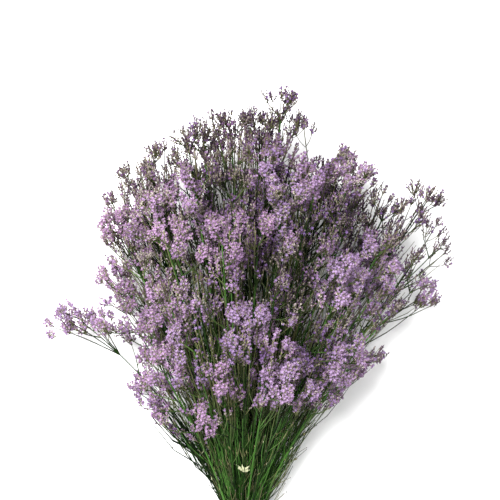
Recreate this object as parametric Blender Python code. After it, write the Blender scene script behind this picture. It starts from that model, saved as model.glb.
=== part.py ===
"""A bunch of cut statice, the branching sea lavender kind, lying on a surface.

The flower heads point along +Y, +X is across the bunch and +Z is up. The origin is on the surface,
under the middle of the twine that ties the stems. The whole bunch is planned first, so that each
branch grows only where it has room. Each spray is then one closed solid: its side branches and its
florets are extruded from faces of its stem.
"""

import math

import bmesh
import bpy
import numpy as np

# The twine, which is wound three times round the stems
TWINE_THICKNESS = 0.0022
TWINE_TURNS = 3
TWINE_SIDES = 18
TWINE_GROOVE = 0.75
TWINE_CLEARANCE = 0.0004

# Stems, three-sided here, packed in rows where the twine holds them
STEM_RADIUS = 0.0015
STEM_PITCH = 0.00295
ROW_PITCH = STEM_PITCH * math.sqrt(3) / 2
LOWEST_STEM = TWINE_THICKNESS + TWINE_CLEARANCE + STEM_RADIUS / 2
CUT_LENGTH = 0.100
CUT_UNEVEN = 0.007
CUT_SPREAD = 1.35
HELD_LENGTH = 0.012

# How a stem curves out of the bundle: its sideways and upward pull there, and its outward one at the top
HELD_PULL = 0.50
TOP_PULL = 1.2
TOP_PULL_WIDE = 1.2

# Where each stem has a bend or a side branch, as shares of its way from the twine to its top
BEND_JOINTS = (0.14, 0.28)
BRANCH_JOINTS = (0.41, 0.54, 0.66, 0.76, 0.85, 0.93)
TWIG_RING = 4
FIRST_BRANCH_RING = 5

# Side branches: how they leave the stem, and where round the top of it they end
BRANCH_RADIUS = 0.00085
BRANCH_ROOT_LENGTH = 0.0035
BRANCH_SLOPE = (math.radians(14), math.radians(62))
BRANCH_BOW = 0.10
BRANCH_OUT = (0.5, 1.25)
BRANCH_BACK = (0.1, 0.7)
BRANCH_LOWEST = (0.008, 0.012)

# The three limbs at the top of a stem, and how far a spray turns to the front of the bunch
CROWN_NECK = 0.003
CROWN_LENGTH = (0.0216, 0.0300)
CROWN_TILT = math.radians(38)
SPRAY_UPTURN = 0.6
BRANCH_TUFT_UPTURN = 0.5
CROWN_TUFT_UPTURN = 0.4

# Florets, larger than life, in tufts of three on a knuckle, and one alone half way along a branch
KNUCKLE_RADIUS = 0.0012
KNUCKLE_PEAK = 0.0006
KNUCKLE_INSET = 0.0012
FLORET_LENGTH = 0.0145
FLORET_RADIUS = 0.0062
FLORET_TILT = math.radians(37)
FLORET_INSIDE = 0.8
LONE_TILT = math.radians(62)
LONE_STALK = 0.003
LONE_LEAST_WAY = 0.014

# Thin bare twigs, low on some of the stems
TWIG_SHARE = 0.7
TWIG_TILT = (math.radians(18), math.radians(36))
TWIG_LENGTH = (0.030, 0.055)
TWIG_UPTURN = 0.35
TWIG_TIP_RADIUS = 0.0006

# Free space: a floret counts as two rods, whose ends and radius are shares of its own
FLORET_RODS = ((0.10, 0.55, 0.55), (0.80, 1.00, 1.00))
LIMB_ROD_RADIUS = BRANCH_RADIUS * 1.1
LONE_FREE_ROOT = 0.6
CLEAR_GAP = 0.0006
RIM_DROP = 0.75
PRESSED_DEPTH = 0.0035
NEIGHBOUR_REACH = 0.02
TRIES = 60
SEED = 10

# The outline of the flowering head seen from above: (across, along), in metres, clockwise
OUTLINE = (
    (-0.105, 0.148),
    (-0.123, 0.180),
    (-0.119, 0.206),
    (-0.112, 0.232),
    (-0.145, 0.242),
    (-0.201, 0.243),
    (-0.228, 0.254),
    (-0.199, 0.278),
    (-0.140, 0.285),
    (-0.163, 0.312),
    (-0.144, 0.336),
    (-0.157, 0.350),
    (-0.155, 0.392),
    (-0.146, 0.417),
    (-0.088, 0.462),
    (-0.036, 0.490),
    (0.018, 0.508),
    (0.044, 0.522),
    (0.080, 0.488),
    (0.060, 0.468),
    (0.066, 0.446),
    (0.112, 0.450),
    (0.143, 0.434),
    (0.170, 0.405),
    (0.186, 0.417),
    (0.219, 0.415),
    (0.232, 0.380),
    (0.238, 0.330),
    (0.190, 0.316),
    (0.221, 0.294),
    (0.217, 0.276),
    (0.175, 0.273),
    (0.145, 0.234),
    (0.163, 0.222),
    (0.116, 0.185),
    (0.100, 0.162),
    (0.010, 0.166),
    (-0.025, 0.155),
    (-0.035, 0.126),
    (-0.060, 0.122),
)

# The bunch from its lowest layer to its top one, and each layer from left to right. Each spray is
# where its stem ends: (across, along, height, reach of its crown), in metres. No reach is a bare twig.
LAYERS = (
    (
        (-0.108, 0.187, 0.020, 0.030),
        (-0.090, 0.330, 0.022, 0.040),
        (-0.014, 0.390, 0.024, 0.040),
        (0.070, 0.380, 0.024, 0.040),
        (0.140, 0.310, 0.022, 0.036),
        (0.107, 0.176, 0.012, 0.0),
    ),
    (
        (-0.096, 0.160, 0.027, 0.026),
        (-0.135, 0.300, 0.045, 0.034),
        (-0.119, 0.400, 0.055, 0.034),
        (-0.042, 0.435, 0.070, 0.038),
        (0.021, 0.450, 0.072, 0.036),
        (0.118, 0.418, 0.062, 0.034),
        (0.185, 0.285, 0.042, 0.028),
    ),
    (
        (-0.178, 0.255, 0.056, 0.036),
        (-0.138, 0.365, 0.060, 0.034),
        (-0.100, 0.420, 0.085, 0.034),
        (-0.058, 0.440, 0.100, 0.036),
        (-0.012, 0.452, 0.110, 0.034),
        (0.041, 0.475, 0.098, 0.034),
        (0.090, 0.420, 0.092, 0.034),
        (0.195, 0.372, 0.056, 0.034),
    ),
    (
        (-0.130, 0.345, 0.078, 0.034),
        (-0.091, 0.368, 0.108, 0.036),
        (-0.050, 0.392, 0.130, 0.036),
        (-0.009, 0.385, 0.146, 0.034),
        (0.024, 0.415, 0.126, 0.034),
        (0.076, 0.392, 0.125, 0.038),
        (0.112, 0.398, 0.106, 0.038),
        (0.151, 0.365, 0.085, 0.034),
        (0.205, 0.325, 0.055, 0.028),
    ),
    (
        (-0.128, 0.262, 0.066, 0.030),
        (-0.108, 0.300, 0.092, 0.034),
        (-0.071, 0.330, 0.124, 0.036),
        (-0.022, 0.340, 0.150, 0.036),
        (0.016, 0.336, 0.152, 0.034),
        (0.041, 0.372, 0.150, 0.034),
        (0.063, 0.346, 0.140, 0.036),
        (0.107, 0.346, 0.114, 0.036),
        (0.145, 0.325, 0.090, 0.034),
        (0.172, 0.288, 0.062, 0.032),
    ),
    (
        (-0.100, 0.232, 0.088, 0.034),
        (-0.076, 0.266, 0.114, 0.034),
        (-0.047, 0.275, 0.132, 0.034),
        (-0.012, 0.288, 0.154, 0.034),
        (0.033, 0.280, 0.148, 0.034),
        (0.066, 0.315, 0.138, 0.032),
        (0.106, 0.290, 0.114, 0.038),
        (0.136, 0.275, 0.090, 0.032),
        (0.152, 0.252, 0.066, 0.030),
    ),
    (
        (-0.084, 0.196, 0.090, 0.034),
        (-0.052, 0.222, 0.112, 0.032),
        (-0.024, 0.190, 0.118, 0.030),
        (0.004, 0.244, 0.148, 0.034),
        (0.028, 0.206, 0.138, 0.032),
        (0.052, 0.193, 0.124, 0.038),
        (0.082, 0.230, 0.116, 0.032),
        (0.110, 0.198, 0.084, 0.034),
    ),
)


def unit(vector):
    return vector / np.linalg.norm(vector)


def side_frame(along):
    """Two directions across a stem: its upper side, and level to its right."""
    right = unit(np.cross(along, (0.0, 0.0, 1.0)))
    return np.cross(right, along), right


def nearest_gaps(rods, others):
    """Free distance from each rod to each of the others: between their centre lines, less both radii.

    With rod a from p along d and rod b from q along e, the nearest points are p + s d and q + t e. The
    shares s and t come from the closed form for two endless lines, each clamped to its rod.
    """
    p, d = rods[:, None, 0:3], (rods[:, 3:6] - rods[:, 0:3])[:, None]
    q, e = others[None, :, 0:3], (others[:, 3:6] - others[:, 0:3])[None]
    dd, de, ee = (d * d).sum(-1), (d * e).sum(-1), (e * e).sum(-1)
    dw, ew = (d * (p - q)).sum(-1), (e * (p - q)).sum(-1)
    tiny = 1e-12
    s = np.clip((de * ew - ee * dw) / np.maximum(dd * ee - de * de, tiny), 0, 1)
    t = np.clip((de * s + ew) / np.maximum(ee, tiny), 0, 1)
    s = np.clip((de * t - dw) / np.maximum(dd, tiny), 0, 1)
    apart = np.linalg.norm(p - q + s[..., None] * d - t[..., None] * e, axis=-1)
    return apart - rods[:, None, 6] - others[None, :, 6]


def stem_line(layer, place, count, top, rng):
    """Centres of a stem's rings: cut end, held stretch, bends and branch joints, and its top.

    From the twine to the top they lie on a cubic curve between its two end pulls, first and last.
    """
    across = (place - (count - 1) / 2) * STEM_PITCH
    height = LOWEST_STEM + layer * ROW_PITCH
    cut = (
        across * CUT_SPREAD,
        -CUT_LENGTH - CUT_UNEVEN * rng.uniform(-1, 1),
        LOWEST_STEM + layer * ROW_PITCH * CUT_SPREAD,
    )
    start = np.array((across, HELD_LENGTH, height))
    way = top - start
    first = way * (HELD_PULL, 1.0, HELD_PULL)
    last = way * (TOP_PULL + TOP_PULL_WIDE * (way[0] / way[1]) ** 2, 1.0, 1.0)
    line = [cut, (across, -HELD_LENGTH, height), start]
    for share in (*BEND_JOINTS, *BRANCH_JOINTS, 1.0):
        rest = 1 - share
        held_part = start * (1 + 2 * share) * rest**2 + first * share * rest**2
        line.append(held_part + top * (3 - 2 * share) * share**2 - last * rest * share**2)
    return np.array(line)


def around(axis, tilt, turn):
    """A direction tilted away from axis, turned round it."""
    upper, right = side_frame(axis)
    return math.cos(tilt) * axis + math.sin(tilt) * (math.cos(turn) * upper + math.sin(turn) * right)


def floret_directions(axis, turn):
    """Where the three florets of a tuft look: they lean out evenly from the tuft's axis."""
    return [around(axis, FLORET_TILT, turn + k * 2 * math.pi / 3) for k in range(3)]


def floret_rods(base, directions):
    """Rods that flaring florets stay inside: their starts, ends and radii."""
    rods = []
    for direction in directions:
        for low, high, width in FLORET_RODS:
            start, end = base + direction * FLORET_LENGTH * low, base + direction * FLORET_LENGTH * high
            rods.append((*start, *end, FLORET_RADIUS * width))
    return np.array(rods)


def limb_rods(points, radius):
    return np.array([(*a, *b, radius) for a, b in zip(points, points[1:])])


class Room:
    """The space that the bunch has filled so far: rods, and for each the spray that owns it."""

    def __init__(self, rods=np.zeros((0, 7)), owners=np.zeros(0, int), stems=np.zeros(0, bool)):
        self.rods, self.owners, self.stems = rods, owners, stems

    def copy(self):
        return Room(self.rods, self.owners, self.stems)

    def fill(self, number, rods, stem=False):
        self.rods = np.vstack([self.rods, rods])
        self.owners = np.append(self.owners, np.full(len(rods), number))
        self.stems = np.append(self.stems, np.full(len(rods), stem))

    def has_room(self, number, rods, beside_own_stem=False):
        """Whether these rods clear all others, but for their own spray's stem where they root in it."""
        ends = rods[:, 0:6].reshape(-1, 3)
        reach = np.linalg.norm(ends - ends.mean(axis=0), axis=1).max() + NEIGHBOUR_REACH
        centres = (self.rods[:, 0:3] + self.rods[:, 3:6]) / 2
        halves = np.linalg.norm(self.rods[:, 3:6] - self.rods[:, 0:3], axis=1) / 2
        tested = np.linalg.norm(centres - ends.mean(axis=0), axis=1) < reach + halves
        if beside_own_stem:
            tested &= ~((self.owners == number) & self.stems)
        if not tested.any():
            return True
        return bool((nearest_gaps(rods, self.rods[tested]) > CLEAR_GAP).all())


def lies_above_surface(rods):
    """Whether florets or limbs are no lower than where the surface can press them flat."""
    return bool((rods[:, 5] - rods[:, 6] * RIM_DROP > -PRESSED_DEPTH).all())


def inside_outline(place):
    """Whether a place is inside the head's outline seen from above, by counting the edges beside it."""
    here = np.array(OUTLINE)
    after = np.roll(here, -1, axis=0)
    beside = (here[:, 1] > place[1]) != (after[:, 1] > place[1])
    slant = (place[1] - here[:, 1]) / np.where(beside, after[:, 1] - here[:, 1], 1.0)
    crossings = here[:, 0] + slant * (after[:, 0] - here[:, 0]) > place[0]
    return np.count_nonzero(beside & crossings) % 2 == 1


def limb_with_room(room, number, points, axis, turn):
    """Fills the room with a limb and its tuft if nothing is in their way, and says whether it did."""
    base = points[-1] - axis * KNUCKLE_INSET
    tuft = floret_rods(base, floret_directions(axis, turn))
    limb = limb_rods([*points[:-1], base], LIMB_ROD_RADIUS)
    fits = (
        inside_outline(base + axis * FLORET_LENGTH * FLORET_INSIDE)
        and lies_above_surface(tuft)
        and room.has_room(number, tuft)
        and room.has_room(number, limb[:1], beside_own_stem=True)
        and (len(limb) == 1 or room.has_room(number, limb[1:]))
    )
    if fits:
        room.fill(number, np.vstack([tuft, limb]))
    return fits


def plan_bunch():
    """Every spray of the bunch: its stem's line, its crown, its side branches and its bare twigs."""
    room, sprays = Room(), []
    for layer, tops in enumerate(LAYERS):
        for place, (across, along, height, reach) in enumerate(tops):
            rng = np.random.default_rng((SEED, layer, place))
            line = stem_line(layer, place, len(tops), np.array((across, along, height)), rng)
            axis = unit(unit(line[-1] - line[-2]) + SPRAY_UPTURN * np.array((0.0, 1.0, 0.0)))
            room.fill(len(sprays), limb_rods(line, STEM_RADIUS), stem=True)
            spray = {"line": line, "axis": axis, "reach": reach, "rng": rng}
            sprays.append({**spray, "crown": [], "branches": {}, "twigs": {}})
    flowering = [(number, spray) for number, spray in enumerate(sprays) if spray["reach"]]
    for number, spray in flowering:
        plan_crown(room, number, spray)
    for joint in reversed(range(len(BRANCH_JOINTS))):
        for number, spray in flowering:
            plan_branch(room, number, spray, FIRST_BRANCH_RING + joint)
    for number, spray in enumerate(sprays):
        if spray["rng"].uniform() < TWIG_SHARE:
            plan_twig(room, number, spray, TWIG_RING)
    return sprays


def plan_crown(room, number, spray):
    """The limbs at a stem's top, each with its tuft, from the draw that has room for most of them."""
    top, axis, rng = spray["line"][-1], spray["axis"], spray["rng"]
    kept = room
    for _ in range(TRIES):
        trial, crown, turn = room.copy(), [], rng.uniform(0, 2 * math.pi)
        for k in range(3):
            direction = around(axis, CROWN_TILT, turn + k * 2 * math.pi / 3)
            neck, end = top + direction * CROWN_NECK, top + direction * rng.uniform(*CROWN_LENGTH)
            twist = rng.uniform(0, 2 * math.pi)
            tuft_axis = unit(direction + CROWN_TUFT_UPTURN * axis)
            if limb_with_room(trial, number, [neck, end], tuft_axis, twist):
                crown.append((direction, end, tuft_axis, twist))
        if len(crown) > len(spray["crown"]):
            spray["crown"], kept = crown, trial
        if len(crown) == 3:
            break
    room.rods, room.owners, room.stems = kept.rods, kept.owners, kept.stems


def plan_branch(room, number, spray, ring):
    """A side branch from this ring of the stem, to a place on the dome round the stem's top."""
    line, axis, rng = spray["line"], spray["axis"], spray["rng"]
    start, top = line[ring], line[-1]
    heading = unit(line[ring + 1] - line[ring - 1])
    for _ in range(TRIES):
        turn, twist = rng.uniform(0, 2 * math.pi, 2)
        out = spray["reach"] * rng.uniform(*BRANCH_OUT)
        back = np.linalg.norm(top - start) * rng.uniform(*BRANCH_BACK)
        end = top - axis * back + around(axis, math.pi / 2, turn) * out
        end[2] = max(end[2], rng.uniform(*BRANCH_LOWEST))
        way = end - start
        middle = start + way / 2 + (way - (way @ axis) * axis) * BRANCH_BOW
        tuft_axis = unit(unit(end - middle) + BRANCH_TUFT_UPTURN * axis)
        slope = math.acos(np.clip(unit(way) @ heading, -1, 1))
        if not BRANCH_SLOPE[0] < slope < BRANCH_SLOPE[1]:
            continue
        others = room.copy()
        if limb_with_room(room, number, [start, middle, end], tuft_axis, twist):
            lone = lone_floret(others, room, number, (start, middle, end), tuft_axis, twist, rng)
            spray["branches"][ring] = (middle, end, tuft_axis, twist, lone)
            return


def lone_floret(others, room, number, points, axis, twist, rng):
    """Where a floret half way along a branch looks, or None where it has no room."""
    start, middle, end = points
    if np.linalg.norm(end - middle) < LONE_LEAST_WAY:
        return None
    beside = Room()
    beside.fill(number, floret_rods(end, floret_directions(axis, twist)))
    beside.fill(number, limb_rods([start, start + (middle - start) * LONE_FREE_ROOT], BRANCH_RADIUS))
    for _ in range(TRIES):
        direction = around(unit(end - middle), LONE_TILT, rng.uniform(0, 2 * math.pi))
        rods = floret_rods(middle + direction * LONE_STALK, [direction])
        lies_well = inside_outline(rods[-1, 3:6]) and lies_above_surface(rods)
        if lies_well and others.has_room(number, rods) and beside.has_room(number, rods):
            room.fill(number, rods)
            return direction
    return None


def plan_twig(room, number, spray, ring):
    """A thin bare twig low on a stem."""
    line, rng = spray["line"], spray["rng"]
    heading = unit(line[ring + 1] - line[ring - 1])
    for _ in range(TRIES):
        direction = around(heading, rng.uniform(*TWIG_TILT), rng.uniform(0, 2 * math.pi))
        half = rng.uniform(*TWIG_LENGTH) / 2
        middle = line[ring] + direction * half
        end = middle + unit(direction + TWIG_UPTURN * heading) * half
        rods = limb_rods([line[ring], middle, end], LIMB_ROD_RADIUS)
        clear = room.has_room(number, rods[1:]) and room.has_room(number, rods[:1], beside_own_stem=True)
        if clear and lies_above_surface(rods):
            room.fill(number, rods)
            spray["twigs"][ring] = (middle, end)
            return


def ring_places(centre, along, radius, phase):
    """Corners of a three-sided ring across a direction."""
    upper, right = side_frame(along)
    turns = phase + np.arange(3) * 2 * math.pi / 3
    return [centre + radius * (math.cos(t) * upper + math.sin(t) * right) for t in turns]


def pull_out(bm, face, centre, along, radius, towards=None):
    """Extrudes a three-sided face to a ring at centre, twisted only as far as a given direction needs.

    One side of the ring then looks that way, so that florets can grow from its three sides.
    """
    face = bmesh.ops.extrude_discrete_faces(bm, faces=[face])["faces"][0]
    corners = list(face.verts)
    upper, right = side_frame(along)
    places = [np.array(vert.co) for vert in corners]
    ways = [place - np.mean(places, axis=0) for place in places]
    third = 2 * math.pi / 3
    turned_back = [complex(way @ upper, way @ right) * np.exp(-1j * k * third) for k, way in enumerate(ways)]
    phase = np.angle(sum(turned_back))
    if towards is not None:
        turn = math.atan2(towards @ right, towards @ upper)
        phase += (turn + third - phase) % third - third / 2
    for vert, place in zip(corners, ring_places(centre, along, radius, phase)):
        vert.co = place
    return face


def split_in_three(bm, face, along):
    """A knuckle: the face gets a raised middle, and so becomes three faces that lean apart."""
    poked = bmesh.ops.poke(bm, faces=[face])
    peak = poked["verts"][0]
    peak.co = np.array(peak.co) + along * KNUCKLE_PEAK
    return poked["faces"]


def nearest_face(faces, direction):
    """The face that looks most in this direction."""
    for face in faces:
        face.normal_update()
    return max(faces, key=lambda face: np.array(face.normal) @ direction)


def add_knuckle(bm, face, base, axis, turn):
    """The thickened end of a limb, with a side for each floret of its tuft."""
    return pull_out(bm, face, base, axis, KNUCKLE_RADIUS, floret_directions(axis, turn)[0])


def add_tuft(bm, knuckle, base, axis, turn):
    """Three flaring florets from the knuckle at the end of a limb."""
    free = split_in_three(bm, knuckle, axis)
    for direction in floret_directions(axis, turn):
        chosen = nearest_face(free, direction)
        free.remove(chosen)
        pull_out(bm, chosen, base + direction * FLORET_LENGTH, direction, FLORET_RADIUS)


def next_ring(ring, face):
    """The corners of a face in the order of the ring that its sides come from."""
    corners = set(face.verts)
    return [next(e.other_vert(v) for e in v.link_edges if e.other_vert(v) in corners) for v in ring]


def root_face(bm, low, high, direction):
    """A small three-sided face just above a ring, on the side of the stem that looks this way."""
    facings = []
    for k in range(3):
        a, b, c = (np.array(vert.co) for vert in (low[k], low[(k + 1) % 3], high[k]))
        facings.append(unit(np.cross(b - a, c - a)) @ direction)
    side = int(np.argmax(facings))
    corner, other, above = low[side], low[(side + 1) % 3], high[side]
    edge = next(edge for edge in corner.link_edges if edge.other_vert(corner) == above)
    face = next(face for face in edge.link_faces if other in face.verts)
    split = bmesh.utils.edge_split(edge, corner, BRANCH_ROOT_LENGTH / edge.calc_length())[1]
    halves = (face, bmesh.utils.face_split(face, split, other)[0])
    return next(half for half in halves if len(half.verts) == 3 and corner in half.verts)


def add_stem(bm, line, last_along):
    """The stem's tube: a three-sided ring at each point, with its first corner up."""
    alongs = [unit(after - before) for before, after in zip([line[0], *line[:-1]], [*line[1:], line[-1]])]
    alongs[-1] = last_along
    rings = []
    for centre, along in zip(line, alongs):
        rings.append([bm.verts.new(place) for place in ring_places(centre, along, STEM_RADIUS, 0.0)])
    bm.faces.new(reversed(rings[0]))
    for low, high in zip(rings, rings[1:]):
        for k in range(3):
            j = (k + 1) % 3
            bm.faces.new((low[k], low[j], high[j], high[k]))
    return rings, bm.faces.new(rings[-1])


def add_spray(name, spray, material):
    """One spray: its stem's tube, a limb from a face at each joint, and the crown from its top face."""
    bm = bmesh.new()
    line, axis = spray["line"], spray["axis"]
    rings, face = add_stem(bm, line, unit(line[-1] - line[-2]))
    for ring, (middle, end, tuft_axis, turn, lone) in spray["branches"].items():
        root = root_face(bm, rings[ring], rings[ring + 1], unit(middle - line[ring]))
        limb = pull_out(bm, root, middle, unit(end - line[ring]), BRANCH_RADIUS)
        low = list(limb.verts)
        knuckle = add_knuckle(bm, limb, end, tuft_axis, turn)
        high = next_ring(low, knuckle)
        add_tuft(bm, knuckle, end, tuft_axis, turn)
        if lone is not None:
            root = root_face(bm, low, high, lone)
            pull_out(bm, root, middle + lone * (LONE_STALK + FLORET_LENGTH), lone, FLORET_RADIUS)
    for ring, (middle, end) in spray["twigs"].items():
        root = root_face(bm, rings[ring], rings[ring + 1], unit(middle - line[ring]))
        limb = pull_out(bm, root, middle, unit(end - line[ring]), BRANCH_RADIUS)
        pull_out(bm, limb, end, unit(end - middle), TWIG_TIP_RADIUS)
    if spray["crown"]:
        first_limb = spray["crown"][0][0]
        face = pull_out(bm, face, line[-1] + axis * CROWN_NECK, axis, STEM_RADIUS, first_limb)
        free = split_in_three(bm, face, axis)
        for direction, end, tuft_axis, turn in spray["crown"]:
            chosen = nearest_face(free, direction)
            free.remove(chosen)
            knuckle = add_knuckle(bm, chosen, end, tuft_axis, turn)
            add_tuft(bm, knuckle, end, tuft_axis, turn)
    for vert in bm.verts:
        vert.co.z = max(vert.co.z, 0.0)
    return finished(name, bm, material)


def finished(name, bm, material):
    mesh = bpy.data.meshes.new(name)
    bm.to_mesh(mesh)
    bm.free()
    mesh.materials.append(material)
    piece = bpy.data.objects.new(name, mesh)
    bpy.context.scene.collection.objects.link(piece)
    return piece


def bundle_corners():
    """Centres of the stems at the corners of the packed bundle, across and up."""
    middle_row = max(range(len(LAYERS)), key=lambda layer: len(LAYERS[layer]))
    corners = []
    for layer in (0, middle_row, len(LAYERS) - 1):
        half = (len(LAYERS[layer]) - 1) / 2 * STEM_PITCH
        corners += [(-half, LOWEST_STEM + layer * ROW_PITCH), (half, LOWEST_STEM + layer * ROW_PITCH)]
    return np.array(corners)


def twine_section(turn):
    """A cross-section of the wound twine on one side of the bundle: flat inside, a ridge for each turn."""
    corners = bundle_corners()
    outward = np.array((math.cos(turn), math.sin(turn)))
    corner = corners[np.argmax(corners @ outward)]
    nearest = (STEM_RADIUS + TWINE_CLEARANCE) / math.cos(math.pi / TWINE_SIDES)
    half_width = TWINE_TURNS * TWINE_THICKNESS / 2
    outline = [(nearest, half_width), (nearest, -half_width)]
    for k in range(2 * TWINE_TURNS + 1):
        lift = TWINE_THICKNESS * (1.0 if k % 2 else TWINE_GROOVE)
        outline.append((nearest + lift, half_width * (k / TWINE_TURNS - 1)))
    places = [(*(corner + outward * out), along) for out, along in outline]
    return [(across, along, height) for across, height, along in places]


def add_tie(material):
    """Three turns of twine round the packed stems, pressed flat where they lie on the surface."""
    bm = bmesh.new()
    loops = []
    for step in range(TWINE_SIDES):
        turn = (step + 0.5) * 2 * math.pi / TWINE_SIDES
        loops.append([bm.verts.new(place) for place in twine_section(turn)])
    for here, after in zip(loops, loops[1:] + loops[:1]):
        for k in range(len(here)):
            j = (k + 1) % len(here)
            bm.faces.new((here[k], here[j], after[j], after[k]))
    everything = [*bm.verts, *bm.edges, *bm.faces]
    down = (0, 0, -1)
    cut = bmesh.ops.bisect_plane(bm, geom=everything, plane_co=(0, 0, 0), plane_no=down, clear_outer=True)
    rim = [item for item in cut["geom_cut"] if isinstance(item, bmesh.types.BMEdge)]
    bmesh.ops.contextual_create(bm, geom=rim)
    return finished("tie", bm, material)


def plain_material(name, colour, roughness):
    material = bpy.data.materials.new(name)
    material.use_nodes = True
    shader = material.node_tree.nodes["Principled BSDF"]
    shader.inputs["Base Color"].default_value = (*colour, 1.0)
    shader.inputs["Roughness"].default_value = roughness
    shader.inputs["Metallic"].default_value = 0.0
    return material


def main():
    for leftover in list(bpy.data.objects):
        bpy.data.objects.remove(leftover)
    lilac = plain_material("statice_lilac", (0.36, 0.20, 0.48), 0.7)
    green = plain_material("stem_green", (0.10, 0.17, 0.04), 0.55)
    twine = plain_material("jute_twine", (0.42, 0.30, 0.16), 0.9)
    add_tie(twine)
    flowering = 0
    for spray in plan_bunch():
        if spray["reach"]:
            flowering += 1
            add_spray(f"spray_{flowering:02d}", spray, lilac)
        else:
            add_spray("bare_twig", spray, green)


main()
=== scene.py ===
"""A bunch of cut statice on a white table, seen from above: fine sprays in place of plain ones."""

import math

import bpy
import numpy as np
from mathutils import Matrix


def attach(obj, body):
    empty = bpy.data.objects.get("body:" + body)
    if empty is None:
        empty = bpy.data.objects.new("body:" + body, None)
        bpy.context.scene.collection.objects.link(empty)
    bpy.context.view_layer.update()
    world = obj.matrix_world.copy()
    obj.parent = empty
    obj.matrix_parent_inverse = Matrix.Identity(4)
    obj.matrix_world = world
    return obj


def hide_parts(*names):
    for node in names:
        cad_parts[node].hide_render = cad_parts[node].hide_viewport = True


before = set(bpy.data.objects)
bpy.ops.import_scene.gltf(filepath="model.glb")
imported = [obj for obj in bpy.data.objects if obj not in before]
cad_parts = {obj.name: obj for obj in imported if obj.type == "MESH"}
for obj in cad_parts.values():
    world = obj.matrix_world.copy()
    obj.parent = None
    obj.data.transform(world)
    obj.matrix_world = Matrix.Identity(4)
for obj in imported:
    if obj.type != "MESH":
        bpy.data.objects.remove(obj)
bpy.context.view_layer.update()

# ----------------------------------------
# The table, the light and the camera. The bunch lies on a plain white table under one large soft
# lamp at the upper left, and the camera looks straight down on the flower heads.
TABLE_HALF = 8.0
TABLE_FINISH = {
    "Base Color": (0.93, 0.93, 0.93, 1.0),
    "Roughness": 0.9,
    "Specular IOR Level": 0.1,
}
CAMERA_PLACE = (0.0077, 0.3355, 2.3)
CAMERA_LENS = 145.3
LAMP_PLACE = (-0.75, 1.05, 2.25)
LAMP_AIM = (0.02, 0.30, 0.05)
LAMP_SIZE = 1.25
LAMP_POWER = 158.0
ROOM_LIGHT = {"Color": (1.0, 1.0, 1.0, 1.0), "Strength": 0.98}


def put_in_scene(name, data):
    """An object made of this data, in the scene."""
    thing = bpy.data.objects.new(name, data)
    bpy.context.scene.collection.objects.link(thing)
    return thing


def set_inputs(node, values):
    """Gives inputs of a node their constant values."""
    for name, value in values.items():
        node.inputs[name].default_value = value


def new_material(name, finish):
    """A material with these constants on its shader, and that shader."""
    material = bpy.data.materials.new(name)
    material.use_nodes = True
    shader = material.node_tree.nodes["Principled BSDF"]
    set_inputs(shader, finish)
    return material, shader


table_mesh = bpy.data.meshes.new("table_top")
table_corners = ((-1, -1), (1, -1), (1, 1), (-1, 1))
table_mesh.from_pydata(
    [(x * TABLE_HALF, y * TABLE_HALF, 0.0) for x, y in table_corners], [], [(0, 1, 2, 3)]
)
table_mesh.materials.append(new_material("white_table", TABLE_FINISH)[0])
put_in_scene("table_top", table_mesh)

camera = put_in_scene("camera", bpy.data.cameras.new("camera"))
camera.data.lens = CAMERA_LENS
camera.location = CAMERA_PLACE
bpy.context.scene.camera = camera

lamp = put_in_scene("soft_lamp", bpy.data.lights.new("soft_lamp", "AREA"))
lamp.data.size = LAMP_SIZE
lamp.data.energy = LAMP_POWER
lamp.location = LAMP_PLACE
aim = np.array(LAMP_PLACE) - np.array(LAMP_AIM)
lamp_tilt = math.acos(aim[2] / np.linalg.norm(aim))
lamp.rotation_euler = (lamp_tilt, 0.0, math.atan2(aim[1], aim[0]) + math.pi / 2)

room = bpy.data.worlds.new("studio_room")
room.use_nodes = True
set_inputs(room.node_tree.nodes["Background"], ROOM_LIGHT)
bpy.context.scene.world = room
bpy.context.scene.view_settings.view_transform = "Standard"

# ----------------------------------------
# How the bunch is laid: 57 cut stems, packed in rows where the twine holds them, that curve out to
# the places below. It follows the frame's own plan, so every fine spray stands where its node is.
TWINE_THICKNESS = 0.0022
TWINE_CLEARANCE = 0.0004
STEM_RADIUS = 0.0015
STEM_PITCH = 0.00295
ROW_PITCH = STEM_PITCH * math.sqrt(3) / 2
LOWEST_STEM = TWINE_THICKNESS + TWINE_CLEARANCE + STEM_RADIUS / 2
CUT_LENGTH = 0.100
CUT_UNEVEN = 0.007
CUT_SPREAD = 1.35
HELD_LENGTH = 0.012
HELD_PULL = 0.50
TOP_PULL = 1.2
TOP_PULL_WIDE = 1.2
BEND_JOINTS = (0.14, 0.28)
BRANCH_JOINTS = (0.41, 0.54, 0.66, 0.76, 0.85, 0.93)
SPRAY_UPTURN = 0.6
SEED = 10
MILLIMETRES = 1000

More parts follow.
